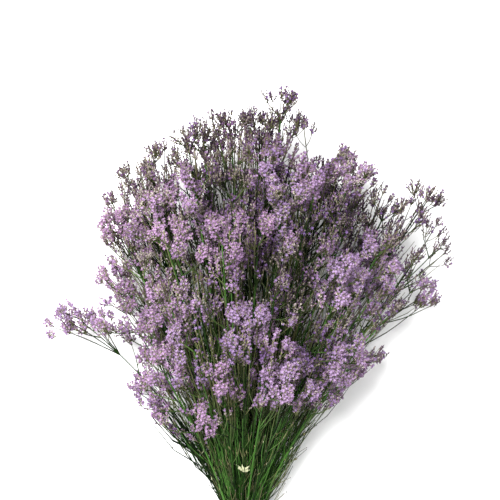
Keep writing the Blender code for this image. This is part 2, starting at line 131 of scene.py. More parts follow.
# The bunch from its lowest layer to its top one, and each layer from left to right, in millimetres.
# Each spray is where its stem ends: (across, along, height, reach of its crown). No reach is a bare
# twig.
LAYERS = [
    np.array(tops) / MILLIMETRES
    for tops in (
        [(-108, 187, 20, 30), (-90, 330, 22, 40), (-14, 390, 24, 40), (70, 380, 24, 40)]
        + [(140, 310, 22, 36), (107, 176, 12, 0)],
        [(-96, 160, 27, 26), (-135, 300, 45, 34), (-119, 400, 55, 34), (-42, 435, 70, 38)]
        + [(21, 450, 72, 36), (118, 418, 62, 34), (185, 285, 42, 28)],
        [(-178, 255, 56, 36), (-138, 365, 60, 34), (-100, 420, 85, 34), (-58, 440, 100, 36)]
        + [(-12, 452, 110, 34), (41, 475, 98, 34), (90, 420, 92, 34), (195, 372, 56, 34)],
        [(-130, 345, 78, 34), (-91, 368, 108, 36), (-50, 392, 130, 36), (-9, 385, 146, 34)]
        + [(24, 415, 126, 34), (76, 392, 125, 38), (112, 398, 106, 38), (151, 365, 85, 34)]
        + [(205, 325, 55, 28)],
        [(-128, 262, 66, 30), (-108, 300, 92, 34), (-71, 330, 124, 36), (-22, 340, 150, 36)]
        + [(16, 336, 152, 34), (41, 372, 150, 34), (63, 346, 140, 36), (107, 346, 114, 36)]
        + [(145, 325, 90, 34), (172, 288, 62, 32)],
        [(-100, 232, 88, 34), (-76, 266, 114, 34), (-47, 275, 132, 34), (-12, 288, 154, 34)]
        + [(33, 280, 148, 34), (66, 315, 138, 32), (106, 290, 114, 38), (136, 275, 90, 32)]
        + [(152, 252, 66, 30)],
        [(-84, 196, 90, 34), (-52, 222, 112, 32), (-24, 190, 118, 30), (4, 244, 148, 34)]
        + [(28, 206, 138, 32), (52, 193, 124, 38), (82, 230, 116, 32), (110, 198, 84, 34)],
    )
]


def unit(vectors):
    """Vectors divided by their lengths."""
    return vectors / np.linalg.norm(vectors, axis=-1, keepdims=True)


def stem_line(layer, place, count, top, rng):
    """Centres of a stem's joints: cut end, held stretch, bends and branch joints, and its top.

    From the twine to the top they lie on a cubic curve between its two end pulls, first and last.
    """
    across = (place - (count - 1) / 2) * STEM_PITCH
    height = LOWEST_STEM + layer * ROW_PITCH
    cut = (
        across * CUT_SPREAD,
        -CUT_LENGTH - CUT_UNEVEN * rng.uniform(-1, 1),
        LOWEST_STEM + layer * ROW_PITCH * CUT_SPREAD,
    )
    start = np.array((across, HELD_LENGTH, height))
    way = top - start
    first = way * (HELD_PULL, 1.0, HELD_PULL)
    last = way * (TOP_PULL + TOP_PULL_WIDE * (way[0] / way[1]) ** 2, 1.0, 1.0)
    line = [cut, (across, -HELD_LENGTH, height), start]
    for share in (*BEND_JOINTS, *BRANCH_JOINTS, 1.0):
        rest = 1 - share
        held_part = start * (1 + 2 * share) * rest**2 + first * share * rest**2
        line.append(held_part + top * (3 - 2 * share) * share**2 - last * rest * share**2)
    return np.array(line)


# ----------------------------------------
# Where the side branches and tufts stand: a stem forks at its joints, and each limb ends in a tuft
# of three small flower heads. A limb grows only where nothing else is in its way.
TWIG_RING = 4
FIRST_BRANCH_RING = 5
BRANCH_RADIUS = 0.00085
BRANCH_SLOPE = (math.radians(14), math.radians(62))
BRANCH_BOW = 0.10
BRANCH_OUT = (0.5, 1.25)
BRANCH_BACK = (0.1, 0.7)
BRANCH_LOWEST = (0.008, 0.012)
CROWN_NECK = 0.003
CROWN_LENGTH = (0.0216, 0.0300)
CROWN_TILT = math.radians(38)
BRANCH_TUFT_UPTURN = 0.5
CROWN_TUFT_UPTURN = 0.4
KNUCKLE_INSET = 0.0012
HEAD_LENGTH = 0.0145
HEAD_RADIUS = 0.0062
HEAD_TILT = math.radians(37)
HEAD_INSIDE = 0.8
LONE_TILT = math.radians(62)
LONE_STALK = 0.003
LONE_LEAST_WAY = 0.014
TWIG_SHARE = 0.7
TWIG_TILT = (math.radians(18), math.radians(36))
TWIG_LENGTH = (0.030, 0.055)
TWIG_UPTURN = 0.35
HEAD_RODS = ((0.10, 0.55, 0.55), (0.80, 1.00, 1.00))
LIMB_ROD_RADIUS = BRANCH_RADIUS * 1.1
LONE_FREE_ROOT = 0.6
CLEAR_GAP = 0.0006
RIM_DROP = 0.75
PRESSED_DEPTH = 0.0035
NEIGHBOUR_REACH = 0.02
TRIES = 60
COVERED_LAYERS = 3
COVERED_HALF = 0.12
TINY = 1e-12
WHOLE_TURN = 2 * math.pi

# The outline of the flowering head seen from above: (across, along), in millimetres, clockwise
OUTLINE = (
    np.array(
        [(-105, 148), (-123, 180), (-119, 206), (-112, 232), (-145, 242), (-201, 243), (-228, 254)]
        + [(-199, 278), (-140, 285), (-163, 312), (-144, 336), (-157, 350), (-155, 392)]
        + [(-146, 417), (-88, 462), (-36, 490), (18, 508), (44, 522), (80, 488), (60, 468)]
        + [(66, 446), (112, 450), (143, 434), (170, 405), (186, 417), (219, 415), (232, 380)]
        + [(238, 330), (190, 316), (221, 294), (217, 276), (175, 273), (145, 234), (163, 222)]
        + [(116, 185), (100, 162), (10, 166), (-25, 155), (-35, 126), (-60, 122)]
    )
    / MILLIMETRES
)


def side_frame(along):
    """Two directions across a stem: its upper side, and level to its right."""
    right = unit(np.cross(along, (0.0, 0.0, 1.0)))
    return np.cross(right, along), right


def around(axis, tilt, turn):
    """A direction tilted away from axis, turned round it."""
    upper, right = side_frame(axis)
    out = math.cos(turn) * upper + math.sin(turn) * right
    return math.cos(tilt) * axis + math.sin(tilt) * out


def head_directions(axis, turn):
    """Where the three heads of a tuft look: they lean out evenly from the tuft's axis."""
    return [around(axis, HEAD_TILT, turn + k * WHOLE_TURN / 3) for k in range(3)]


def nearest_gaps(rods, others):
    """Free distance from each rod to each of the others, between their centres less both radii.

    With rod a from p along d and rod b from q along e, the nearest points are p + s d and q + t e.
    The shares s and t come from the closed form for two endless lines, each clamped to its rod.
    """
    p, d = rods[:, None, 0:3], (rods[:, 3:6] - rods[:, 0:3])[:, None]
    q, e = others[None, :, 0:3], (others[:, 3:6] - others[:, 0:3])[None]
    dd, de, ee = (d * d).sum(-1), (d * e).sum(-1), (e * e).sum(-1)
    dw, ew = (d * (p - q)).sum(-1), (e * (p - q)).sum(-1)
    s = np.clip((de * ew - ee * dw) / np.maximum(dd * ee - de * de, TINY), 0, 1)
    t = np.clip((de * s + ew) / np.maximum(ee, TINY), 0, 1)
    s = np.clip((de * t - dw) / np.maximum(dd, TINY), 0, 1)
    apart = np.linalg.norm(p - q + s[..., None] * d - t[..., None] * e, axis=-1)
    return apart - rods[:, None, 6] - others[None, :, 6]


def head_rods(base, directions):
    """Rods that flaring heads stay inside: their starts, ends and radii."""
    rods = []
    for direction in directions:
        for low, high, width in HEAD_RODS:
            start = base + direction * HEAD_LENGTH * low
            end = base + direction * HEAD_LENGTH * high
            rods.append((*start, *end, HEAD_RADIUS * width))
    return np.array(rods)


def limb_rods(points, radius):
    """One rod from each point to the next."""
    return np.array([(*a, *b, radius) for a, b in zip(points, points[1:])])


class Room:
    """The space filled so far: rods, and for each the spray that owns it."""

    def __init__(self, rods=np.zeros((0, 7)), owners=np.zeros(0, int), stems=np.zeros(0, bool)):
        self.rods, self.owners, self.stems = rods, owners, stems

    def copy(self):
        return Room(self.rods, self.owners, self.stems)

    def fill(self, number, rods, stem=False):
        self.rods = np.vstack([self.rods, rods])
        self.owners = np.append(self.owners, np.full(len(rods), number))
        self.stems = np.append(self.stems, np.full(len(rods), stem))

    def has_room(self, number, rods, beside_own_stem=False):
        """Whether these rods clear all others, but for the own stem where they root in it."""
        ends = rods[:, 0:6].reshape(-1, 3)
        reach = np.linalg.norm(ends - ends.mean(axis=0), axis=1).max() + NEIGHBOUR_REACH
        centres = (self.rods[:, 0:3] + self.rods[:, 3:6]) / 2
        halves = np.linalg.norm(self.rods[:, 3:6] - self.rods[:, 0:3], axis=1) / 2
        tested = np.linalg.norm(centres - ends.mean(axis=0), axis=1) < reach + halves
        if beside_own_stem:
            tested &= ~((self.owners == number) & self.stems)
        if not tested.any():
            return True
        return bool((nearest_gaps(rods, self.rods[tested]) > CLEAR_GAP).all())


def lies_above_table(rods):
    """Whether heads or limbs are no lower than where the table can press them flat."""
    return bool((rods[:, 5] - rods[:, 6] * RIM_DROP > -PRESSED_DEPTH).all())


def inside_outline(places):
    """Whether places are inside the head's outline, by counting the edges to the right of each."""
    after = np.roll(OUTLINE, -1, axis=0)
    x, y = places[..., 0, None], places[..., 1, None]
    beside = (OUTLINE[:, 1] > y) != (after[:, 1] > y)
    slant = (y - OUTLINE[:, 1]) / np.where(beside, after[:, 1] - OUTLINE[:, 1], 1.0)
    crossings = OUTLINE[:, 0] + slant * (after[:, 0] - OUTLINE[:, 0]) > x
    return np.count_nonzero(beside & crossings, axis=-1) % 2 == 1


def limb_with_room(space, number, points, axis, turn):
    """Fills the space with a limb and its tuft if nothing is in their way. Says whether it did."""
    base = points[-1] - axis * KNUCKLE_INSET
    tuft = head_rods(base, head_directions(axis, turn))
    limb = limb_rods([*points[:-1], base], LIMB_ROD_RADIUS)
    fits = (
        inside_outline(base + axis * HEAD_LENGTH * HEAD_INSIDE)
        and lies_above_table(tuft)
        and space.has_room(number, tuft)
        and space.has_room(number, limb[:1], beside_own_stem=True)
        and (len(limb) == 1 or space.has_room(number, limb[1:]))
    )
    if fits:
        space.fill(number, np.vstack([tuft, limb]))
    return fits


def plan_crown(space, number, spray):
    """The limbs at a stem's top, each with its tuft, from the draw that has room for most."""
    top, axis, rng = spray["line"][-1], spray["axis"], spray["rng"]
    kept = space
    for _ in range(TRIES):
        trial, crown, turn = space.copy(), [], rng.uniform(0, WHOLE_TURN)
        for k in range(3):
            direction = around(axis, CROWN_TILT, turn + k * WHOLE_TURN / 3)
            neck, end = top + direction * CROWN_NECK, top + direction * rng.uniform(*CROWN_LENGTH)
            twist = rng.uniform(0, WHOLE_TURN)
            tuft_axis = unit(direction + CROWN_TUFT_UPTURN * axis)
            if limb_with_room(trial, number, [neck, end], tuft_axis, twist):
                crown.append((direction, end, tuft_axis, twist))
        if len(crown) > len(spray["crown"]):
            spray["crown"], kept = crown, trial
        if len(crown) == 3:
            break
    space.rods, space.owners, space.stems = kept.rods, kept.owners, kept.stems


def lone_head(others, space, number, points, axis, twist, rng):
    """Where a head half way along a branch looks, or None where it has no room."""
    start, middle, end = points
    if np.linalg.norm(end - middle) < LONE_LEAST_WAY:
        return None
    root = limb_rods([start, start + (middle - start) * LONE_FREE_ROOT], BRANCH_RADIUS)
    beside = Room()
    beside.fill(number, head_rods(end, head_directions(axis, twist)))
    beside.fill(number, root)
    for _ in range(TRIES):
        direction = around(unit(end - middle), LONE_TILT, rng.uniform(0, WHOLE_TURN))
        rods = head_rods(middle + direction * LONE_STALK, [direction])
        lies_well = inside_outline(rods[-1, 3:6]) and lies_above_table(rods)
        if lies_well and others.has_room(number, rods) and beside.has_room(number, rods):
            space.fill(number, rods)
            return direction
    return None


def plan_branch(space, number, spray, ring):
    """A side branch from this joint of the stem, to a place on the dome round the stem's top."""
    line, axis, rng = spray["line"], spray["axis"], spray["rng"]
    start, top = line[ring], line[-1]
    heading = unit(line[ring + 1] - line[ring - 1])
    for _ in range(TRIES):
        turn, twist = rng.uniform(0, WHOLE_TURN, 2)
        out = spray["reach"] * rng.uniform(*BRANCH_OUT)
        back = np.linalg.norm(top - start) * rng.uniform(*BRANCH_BACK)
        end = top - axis * back + around(axis, math.pi / 2, turn) * out
        end[2] = max(end[2], rng.uniform(*BRANCH_LOWEST))
        way = end - start
        middle = start + way / 2 + (way - (way @ axis) * axis) * BRANCH_BOW
        tuft_axis = unit(unit(end - middle) + BRANCH_TUFT_UPTURN * axis)
        slope = math.acos(np.clip(unit(way) @ heading, -1, 1))
        if not BRANCH_SLOPE[0] < slope < BRANCH_SLOPE[1]:
            continue
        others = space.copy()
        if limb_with_room(space, number, [start, middle, end], tuft_axis, twist):
            points = (start, middle, end)
            lone = lone_head(others, space, number, points, tuft_axis, twist, rng)
            spray["branches"][ring] = (middle, end, tuft_axis, twist, lone)
            return


def plan_twig(space, number, spray, ring):
    """A thin bare twig low on a stem."""
    line, rng = spray["line"], spray["rng"]
    heading = unit(line[ring + 1] - line[ring - 1])
    for _ in range(TRIES):
        direction = around(heading, rng.uniform(*TWIG_TILT), rng.uniform(0, WHOLE_TURN))
        half = rng.uniform(*TWIG_LENGTH) / 2
        middle = line[ring] + direction * half
        end = middle + unit(direction + TWIG_UPTURN * heading) * half
        rods = limb_rods([line[ring], middle, end], LIMB_ROD_RADIUS)
        clear = space.has_room(number, rods[1:])
        clear = clear and space.has_room(number, rods[:1], beside_own_stem=True)
        if clear and lies_above_table(rods):
            space.fill(number, rods)
            spray["twigs"][ring] = (middle, end)
            return


space, sprays = Room(), []
for layer, tops in enumerate(LAYERS):
    for place, (across, along, height, reach) in enumerate(tops):
        rng = np.random.default_rng((SEED, layer, place))
        line = stem_line(layer, place, len(tops), np.array((across, along, height)), rng)
        axis = unit(unit(line[-1] - line[-2]) + SPRAY_UPTURN * np.array((0.0, 1.0, 0.0)))
        space.fill(len(sprays), limb_rods(line, STEM_RADIUS), stem=True)
        covered = layer < COVERED_LAYERS and abs(across) < COVERED_HALF
        spray = {"line": line, "axis": axis, "reach": reach, "rng": rng, "covered": covered}
        sprays.append({**spray, "crown": [], "branches": {}, "twigs": {}})
flowering = [(number, spray) for number, spray in enumerate(sprays) if spray["reach"]]
for number, spray in flowering:
    plan_crown(space, number, spray)
for joint in reversed(range(len(BRANCH_JOINTS))):
    for number, spray in flowering:
        plan_branch(space, number, spray, FIRST_BRANCH_RING + joint)
for number, spray in enumerate(sprays):
    if spray["rng"].uniform() < TWIG_SHARE:
        plan_twig(space, number, spray, TWIG_RING)

# ----------------------------------------
# Stems and branchlets: each is a thin round green stalk that thins towards its tip, with a small
# scale at every joint. A spray's stalks, flowers and buds are one plant, so they are one mesh.
STEM_WIDTHS = (0.00135, 0.00075)
THIN_STEM = (0.00125, 0.00042)
BRANCH_WIDTHS = (0.00072, 0.00042)
TWIG_WIDTHS = (0.00048, 0.00022)
STEM_SIDES, LIMB_SIDES, TWIG_SIDES, THIN_SIDES = 6, 5, 4, 3
STEM_STEPS, BRANCH_STEPS, FORK_STEPS, COVERED_STEPS = 3, 3, 2, 1
FOOT_INSET = 0.5
RIB_TONE = 0.12
GRAIN = 0.012
GRAIN_TURN = 0.3
CAP_SHADE = 0.006
SCALE_LENGTH = (0.0040, 0.0075)
SCALE_WIDTH = 0.0011
PALE_SCALE_NARROW = 0.5
SCALE_FLAT = 0.45
SCALE_LEAN = 0.25
SCALE_TONES = (0.55, 0.95)
SCALE_ROLLS = (0, 6.3)
# Share of scales that are pale: dried scales that partly serve as painted glints on the stems
PALE_SCALES_AND_GLINTS = 0.4

# Down a spray's colour chart, which its map reads: V is what part of the plant it is
CUT_PITH, PITH_END, STEM_FOOT, STEM_TOP, BRANCH_TOP, STALK_TIP = 0.0, 0.03, 0.05, 0.28, 0.36, 0.41
BUD_FOOT, BUD_TIP, CUP_FOOT, CUP_RIM, PETAL_RIM = 0.44, 0.60, 0.64, 0.75, 0.87


class Growth:
    """One plant's surfaces as they are added: corners, triangles and places on the chart."""

    def __init__(self):
        self.places, self.faces, self.chart, self.smooth, self.count = [], [], [], [], 0

    def add(self, places, faces, chart, smooth):
        """Adds like copies: places and chart are (copies, corners, ...), faces are one copy's."""
        copies, corners = places.shape[:2]
        starts = self.count + np.arange(copies) * corners
        self.faces.append((faces[None] + starts[:, None, None]).reshape(-1, 3))
        self.places.append(places.reshape(-1, 3))
        self.chart.append(chart.reshape(-1, 2))
        self.smooth.append(np.full(copies * len(faces), smooth))
        self.count += copies * corners

    def piece(self, name, material):
        """The mesh object, with the chart as its map. Nothing is lower than the table's top."""
        places, faces = np.vstack(self.places), np.vstack(self.faces)
        places[:, 2] = np.maximum(places[:, 2], 0.0)
        mesh = bpy.data.meshes.new(name)
        mesh.vertices.add(len(places))
        mesh.vertices.foreach_set("co", places.ravel())
        mesh.loops.add(faces.size)
        mesh.loops.foreach_set("vertex_index", faces.ravel())
        mesh.polygons.add(len(faces))
        mesh.polygons.foreach_set("loop_start", np.arange(len(faces)) * 3)
        mesh.polygons.foreach_set("use_smooth", np.concatenate(self.smooth))
        chart = np.clip(np.vstack(self.chart), 0, 1)[faces.ravel()]
        mesh.uv_layers.new(name="OFBake").data.foreach_set("uv", chart.ravel())
        mesh.materials.append(material)
        mesh.update(calc_edges=True)
        return put_in_scene(name, mesh)


def smooth_way(points, steps):
    """Smooth paths through given points, (paths, points, 3), with this many steps to a span.

    Each span is the cubic with its two end points and, as end pulls, the unit directions there
    times the span's length. A point's direction is from the point before it to the one after it.
    """
    before = np.concatenate([points[:, :1], points[:, :-1]], axis=1)
    after = np.concatenate([points[:, 1:], points[:, -1:]], axis=1)
    headings = unit(after - before)
    spans = np.linalg.norm(np.diff(points, axis=1), axis=-1, keepdims=True)[:, :, None]
    t = (np.arange(steps) / steps)[None, None, :, None]
    start, end = points[:, :-1, None], points[:, 1:, None]
    pull_start, pull_end = headings[:, :-1, None] * spans, headings[:, 1:, None] * spans
    ways = (
        start * (1 + 2 * t) * (1 - t) ** 2
        + pull_start * t * (1 - t) ** 2
        + end * (3 - 2 * t) * t**2
        - pull_end * (1 - t) * t**2
    )
    return np.concatenate([ways.reshape(len(points), -1, 3), points[:, -1:]], axis=1)


def across_frames(headings):
    """Two directions across each heading. The first leans least from a fixed side of its path."""
    mean = unit(headings.mean(axis=1, keepdims=True))
    least = np.eye(3)[np.argmin(np.abs(mean), axis=-1)]
    fixed = np.cross(mean, least)
    first = unit(fixed - (fixed * headings).sum(-1, keepdims=True) * headings)
    return first, np.cross(headings, first)


def tube_faces(rings, sides):
    """A tube's triangles: two between each four corners of its skin, then a fan at each end."""
    corner = np.arange(rings * sides).reshape(rings, sides)
    beside = np.roll(corner, -1, axis=1)
    low, low_next, high, high_next = corner[:-1], beside[:-1], corner[1:], beside[1:]
    foot = np.full(sides, rings * sides)
    return np.vstack(
        [
            np.stack([low, low_next, high_next], axis=-1).reshape(-1, 3),
            np.stack([low, high_next, high], axis=-1).reshape(-1, 3),
            np.stack([foot, beside[0], corner[0]], axis=-1),
            np.stack([foot + 1, corner[-1], beside[-1]], axis=-1),
        ]
    )


def add_stalks(growth, ways, widths, sides, tones, shades, cut=False):
    """Round stalks carried along paths (stalks, rings, 3), closed by a point at each end.

    Corner k of n on a ring is the ring's centre, plus its radius times cos(2 pi k / n) one way
    across the path and times sin(2 pi k / n) the other way. Radii and shades run from the foot to
    the tip. A tone is a stalk's, or each ring's.
    """
    stalks, rings = ways.shape[:2]
    if not stalks:
        return
    share = np.linspace(0, 1, rings)
    radii = widths[0] + (widths[1] - widths[0]) * share
    headings = unit(np.gradient(ways, axis=1))
    first, second = across_frames(headings)
    turns = np.arange(sides) * WHOLE_TURN / sides
    cosines, sines = np.cos(turns)[:, None], np.sin(turns)[:, None]
    outward = first[:, :, None] * cosines + second[:, :, None] * sines
    skin = ways[:, :, None] + outward * radii[None, :, None, None]
    foot = ways[:, :1] - (0 if cut else FOOT_INSET) * headings[:, :1] * radii[0]
    tip = ways[:, -1:] + headings[:, -1:] * radii[-1]
    places = np.concatenate([skin.reshape(stalks, -1, 3), foot, tip], axis=1)
    tones = np.broadcast_to(np.reshape(tones, (stalks, -1)), (stalks, rings))
    grain = GRAIN * np.cos(turns + GRAIN_TURN) + (RIB_TONE if cut else 0) * np.cos(3 * turns)
    chart = np.empty((stalks, rings * sides + 2, 2))
    chart[:, :-2, 0] = np.repeat(tones, sides, axis=1) + np.tile(grain, rings)
    chart[:, -2:, 0] = tones[:, [0, -1]]
    chart[:, :-2, 1] = np.repeat(shades[0] + (shades[1] - shades[0]) * share, sides)
    chart[:, -2, 1] = CUT_PITH if cut else shades[0] - CAP_SHADE
    chart[:, -1, 1] = shades[1] + CAP_SHADE
    growth.add(places, tube_faces(rings, sides), chart, True)


# A bud or a scale: a spindle with a ring of four corners between its foot and its tip. A form is
# its corners (x, y, z), its triangles, and its corners' tones and shades on the chart.
BUD = (
    np.array([(0, 0, 0), (1, 0, 0.55), (0, 1, 0.55), (-1, 0, 0.55), (0, -1, 0.55), (0, 0, 1)]),
    np.array([(0, k % 4 + 1, k) for k in (1, 2, 3, 4)] + [(5, k, k % 4 + 1) for k in (1, 2, 3, 4)]),
    np.array([0.0, 0.9, 0.3, -0.9, -0.3, 0.1]),
    np.array([0, 0.55, 0.5, 0.6, 0.45, 1]),
)


def add_forms(growth, form, feet, headings, lengths, widths, rolls, u, rows, grain=GRAIN):
    """Copies of a small form, set on feet and turned to headings.

    A corner (x, y, z) goes to the foot, plus length times z along the heading, plus the two widths
    times x and y across it. The roll turns x and y round the heading. On the chart a copy lies at
    its u, with a little grain, and between its two rows.
    """
    corners, faces, tones, shades = form
    first, second = (side[:, 0] for side in across_frames(headings[:, None]))
    turn, other = np.cos(rolls)[:, None], np.sin(rolls)[:, None]
    one, two = first * turn + second * other, second * turn - first * other
    places = feet[:, None]
    for way, size, axis in ((headings, lengths, 2), (one, widths[0], 0), (two, widths[1], 1)):
        places = places + way[:, None] * (corners[None, :, axis] * size[:, None])[..., None]
    low, high = (np.reshape(row, (-1, 1)) for row in rows)
    u = u[:, None] + grain * tones
    v = low + (high - low) * shades + np.zeros_like(u)
    growth.add(places, faces, np.stack([u, v], axis=-1), False)


def add_scales(growth, feet, headings, rng):
    """A clasping scale at each joint, wider than thick, leaning off the stalk. Some dried pale, and
    these pale ones also serve as painted glints of light on the stems.
    """
    count = len(feet)
    lean = unit(headings + SCALE_LEAN * rng.normal(size=(count, 3)))
    lengths = rng.uniform(*SCALE_LENGTH, count)
    u = rng.uniform(*SCALE_TONES, count)
    is_pale = rng.uniform(size=count) < PALE_SCALES_AND_GLINTS
    wide = SCALE_WIDTH * np.where(is_pale, PALE_SCALE_NARROW, 1.0)
    rows = (np.where(is_pale, CUT_PITH, BRANCH_TOP), np.where(is_pale, PITH_END, BUD_FOOT))
    rolls = rng.uniform(*SCALE_ROLLS, count)
    add_forms(growth, BUD, feet, lean, lengths, (wide, wide * SCALE_FLAT), rolls, u, rows)


# ----------------------------------------
# Flower spikes: each head of the frame is a fan of thin curved spikes, set with tiny flowers. Open
# ones are five-pointed lilac stars in papery cups, the others closed buds or empty pale cups.
SPIKES_TO_A_HEAD, SPIKES_TO_A_BRANCHLET = 4, 2
HEAD_WAY = 0.66
SPRAY_WAY = 0.46
SPIKE_TURNED = (-0.5, 0.5)
SPIKE_START = (0.0, 0.40)
MIDDLE_REACH, SIDE_REACH = (0.90, 1.20), (0.62, 1.12)
MIDDLE_OUT, SIDE_OUT = (0.0, 0.2), (0.40, 1.0)
SPIKE_BOW = 0.35
SPIKE_SAG = 0.06
SPIKE_WIDTHS = (0.00054, 0.00040)
SPIKE_TONES = (0.1, 0.9)
STAR_LENGTH = (0.0030, 0.0050)
STAR_RADIUS = (0.0010, 0.0025)
CUP_LENGTH = (0.0028, 0.0038)
CUP_RADIUS = (0.0007, 0.0011)
BUD_LENGTH = (0.0028, 0.0044)
BUD_RADIUS = (0.00056, 0.00096)

# The short spikes on the outer part of a limb: how far up it they root, and the way of each up the
# limb and out from it, at its middle and at its tip
LIMB_SPIKE_LENGTH = (0.008, 0.015)
LIMB_SPIKE_PART = 0.75
LIMB_SPIKE_ROOTS = (0.25, 0.98)
LIMB_SPIKE_MIDDLE = (0.30, 0.34)
LIMB_SPIKE_TIP = (0.88, 0.42)

# Gaps between them, low in the bunch and near its top. In full bloom they stand closer.
SPIKE_GAP_PLACES = (0.22, 0.41)
SPIKE_GAPS = (0.0110, 0.00245)
CLOSER_IN_BLOOM = 1.20

# Places seen from above: (across, along, size), in millimetres. First where it is in full bloom,
IN_BLOOM = [(-19, 344, 24), (-9, 298, 11), (13, 251, 24), (42, 200, 31), (110, 302, 25)]
IN_BLOOM += [(118, 413, 18), (80, 405, 18), (27, 420, 13), (40, 362, 15), (-66, 398, 13)]
IN_BLOOM += [(-95, 366, 18), (-79, 346, 10), (-90, 262, 26), (-84, 217, 20), (-22, 193, 14)]
IN_BLOOM += [(112, 208, 22), (-40, 145, 13), (137, 346, 10), (-187, 263, 35), (-148, 365, 16)]
IN_BLOOM += [(-150, 307, 14), (-115, 193, 15), (-92, 165, 15), (200, 291, 8), (156, 311, 14)]

# where most flowers have withered to their papery cups,
PAPERY = [(-75, 292, 16), (66, 277, 14), (118, 418, 20), (-102, 402, 24), (-10, 440, 16)]
PAPERY += [(45, 330, 12), (-100, 322, 14), (140, 375, 12)]

# where it lies in shade, with closed buds deep in it and painted shade that darkens the flowers and
# stalks there,
PAINTED_SHADE_SPOTS = [(-20, 402, 18), (11, 303, 18), (74, 366, 17), (123, 383, 20), (87, 429, 10)]
PAINTED_SHADE_SPOTS += [(21, 330, 18), (41, 275, 13), (5, 190, 12), (21, 220, 8), (76, 226, 16)]
PAINTED_SHADE_SPOTS += [(142, 410, 10), (66, 311, 14), (43, 421, 8), (118, 347, 14), (147, 374, 15)]

# and where stalks or the table show between the flowers
GREEN_GAPS = [(-30, 303, 16), (-35, 223, 18), (-44, 250, 14), (-10, 404, 9), (22, 296, 13)]
GREEN_GAPS += [(5, 201, 12), (45, 254, 12), (157, 396, 13), (80, 270, 14), (-60, 318, 12)]
GREEN_GAPS += [(130, 262, 13), (-12, 160, 16), (-68, 170, 14), (189, 320, 14), (179, 289, 8)]
GREEN_GAPS += [(-133, 329, 12), (-112, 308, 8), (-127, 264, 10), (-138, 392, 7), (204, 356, 11)]
GREEN_GAPS += [(145, 241, 13), (-70, 148, 15), (-98, 137, 13), (-84, 181, 9), (21, 501, 8)]
GREEN_GAPS += [(-151, 240, 10), (183, 352, 8), (226, 350, 8), (-108, 179, 9), (-24, 161, 10)]
GREEN_GAPS += [(11, 303, 13), (74, 366, 13), (-20, 402, 9)]

IN_BLOOM, PAPERY, PAINTED_SHADE_SPOTS, GREEN_GAPS = (
    np.array(spots) / MILLIMETRES for spots in (IN_BLOOM, PAPERY, PAINTED_SHADE_SPOTS, GREEN_GAPS)
)
GAP_DEPTH = 0.90
HEAD_HEIGHT = 0.08
# How much painted shade darkens stalks in the shade spots, and how much paler stalks are in full
# bloom
STALKS_PAINTED_SHADE = 0.9
STALKS_IN_BLOOM = 0.5

# How many flowers are open, or withered cups, from the foot of a spike to its tip
FULL_BLOOM = 1.5
BLOOM_SHADED = 0.7
SPIKE_VARIES = 0.20
HIGHER_UP = (0.55, 1.25)
OPEN_ANYWHERE, OPEN_IN_BLOOM = 0.08, 1.04
OPEN_PAPERY = 0.5
CUPS_PAPERY = 0.5
CUPS_LOWER_DOWN = 1.6
CUPS_SHADED = 0.8

# How they sit: each is turned from the one below it, open ones lean well out and look up a little
FLOWER_SLIP = (-0.04, 0.04)
FLOWER_TURN = math.pi * 0.85
FLOWER_TURNED = (-0.5, 0.5)
STAR_LEAN, BUD_LEAN = (24, 52), (10, 30)
TIP_LEAN = 0.15
STAR_UPTURN = np.array((0.0, 0.0, 0.30))

# How fresh their colours are, across the chart: 0 is old and 1 is fresh. Painted shade in the shade
# spots lowers it towards the dark old colours.
TONE_ANYWHERE, TONE_IN_BLOOM, TONE_PAPERY = 0.12, 0.82, 0.24
PAINTED_SHADE_DEPTH = 0.60
SPIKE_TONE_VARIES, SPIKE_TONE_LOW = 0.26, 0.3
FLOWER_TONE_VARIES = (-0.15, 0.15)
TONE_ENDS = (0.02, 0.98)


def open_form(reach, rise, throat, shades):
    """An open form: its foot, a rim of corners (reach out, rise up) at even turns, its throat."""
    count = len(reach)
    turns = np.arange(count) * WHOLE_TURN / count
    rim = np.arange(1, count + 1)
    after, foot = np.roll(rim, -1), np.zeros(count, int)
    rim_corners = np.stack([reach * np.cos(turns), reach * np.sin(turns), rise], axis=-1)
    outside = np.stack([foot, after, rim], axis=-1)
    inside = np.stack([foot + count + 1, rim, after], axis=-1)
    return (
        np.vstack([(0, 0, 0), rim_corners, (0, 0, throat)]),
        np.vstack([outside, inside]),
        np.array([0.0, *np.cos(turns + GRAIN_TURN), 0.1]),
        np.array(shades),
    )


# An open flower has five petal tips with notches between them, and a cup five plain corners
STAR = open_form(
    np.array([1.0, 0.46] * 5), np.array([0.96, 0.78] * 5), 0.62, [0.0, *[1.0, 0.93] * 5, 1.15]
)
CUP = open_form(np.ones(5), np.full(5, 0.95), 0.5, [0.0, 1.0, 0.94, 1.02, 0.97, 0.92, 1.4])


def nearness(seen, spots):
    """How near a place seen from above is to any spot, 0 to 1: a round bell of its own size."""
    apart = seen[..., None, :] - spots[:, :2]
    return np.exp(-(apart**2).sum(-1) / (2 * spots[:, 2] ** 2)).max(axis=-1)


def seen_from_above(places):
    """Places moved to the outline's height, along the lines of sight from the camera's place.

    The spots and the outline are drawn at that height. What they give is fixed in the meshes and
    their maps, so it stays on the plant in every view.
    """
    eye = np.array(CAMERA_PLACE)
    scale = (eye[2] - HEAD_HEIGHT) / (eye[2] - places[..., 2:3])
    return eye[:2] + (places[..., :2] - eye[:2]) * scale


def kept_spikes(pulls, rng):
    """The spikes whose tips are inside the head's outline, thinned out where stalks show."""
    tips = seen_from_above(pulls[:, 2])
    thinned = GAP_DEPTH * nearness(tips, GREEN_GAPS)
    return pulls[inside_outline(tips) & (rng.uniform(size=len(pulls)) > thinned)]


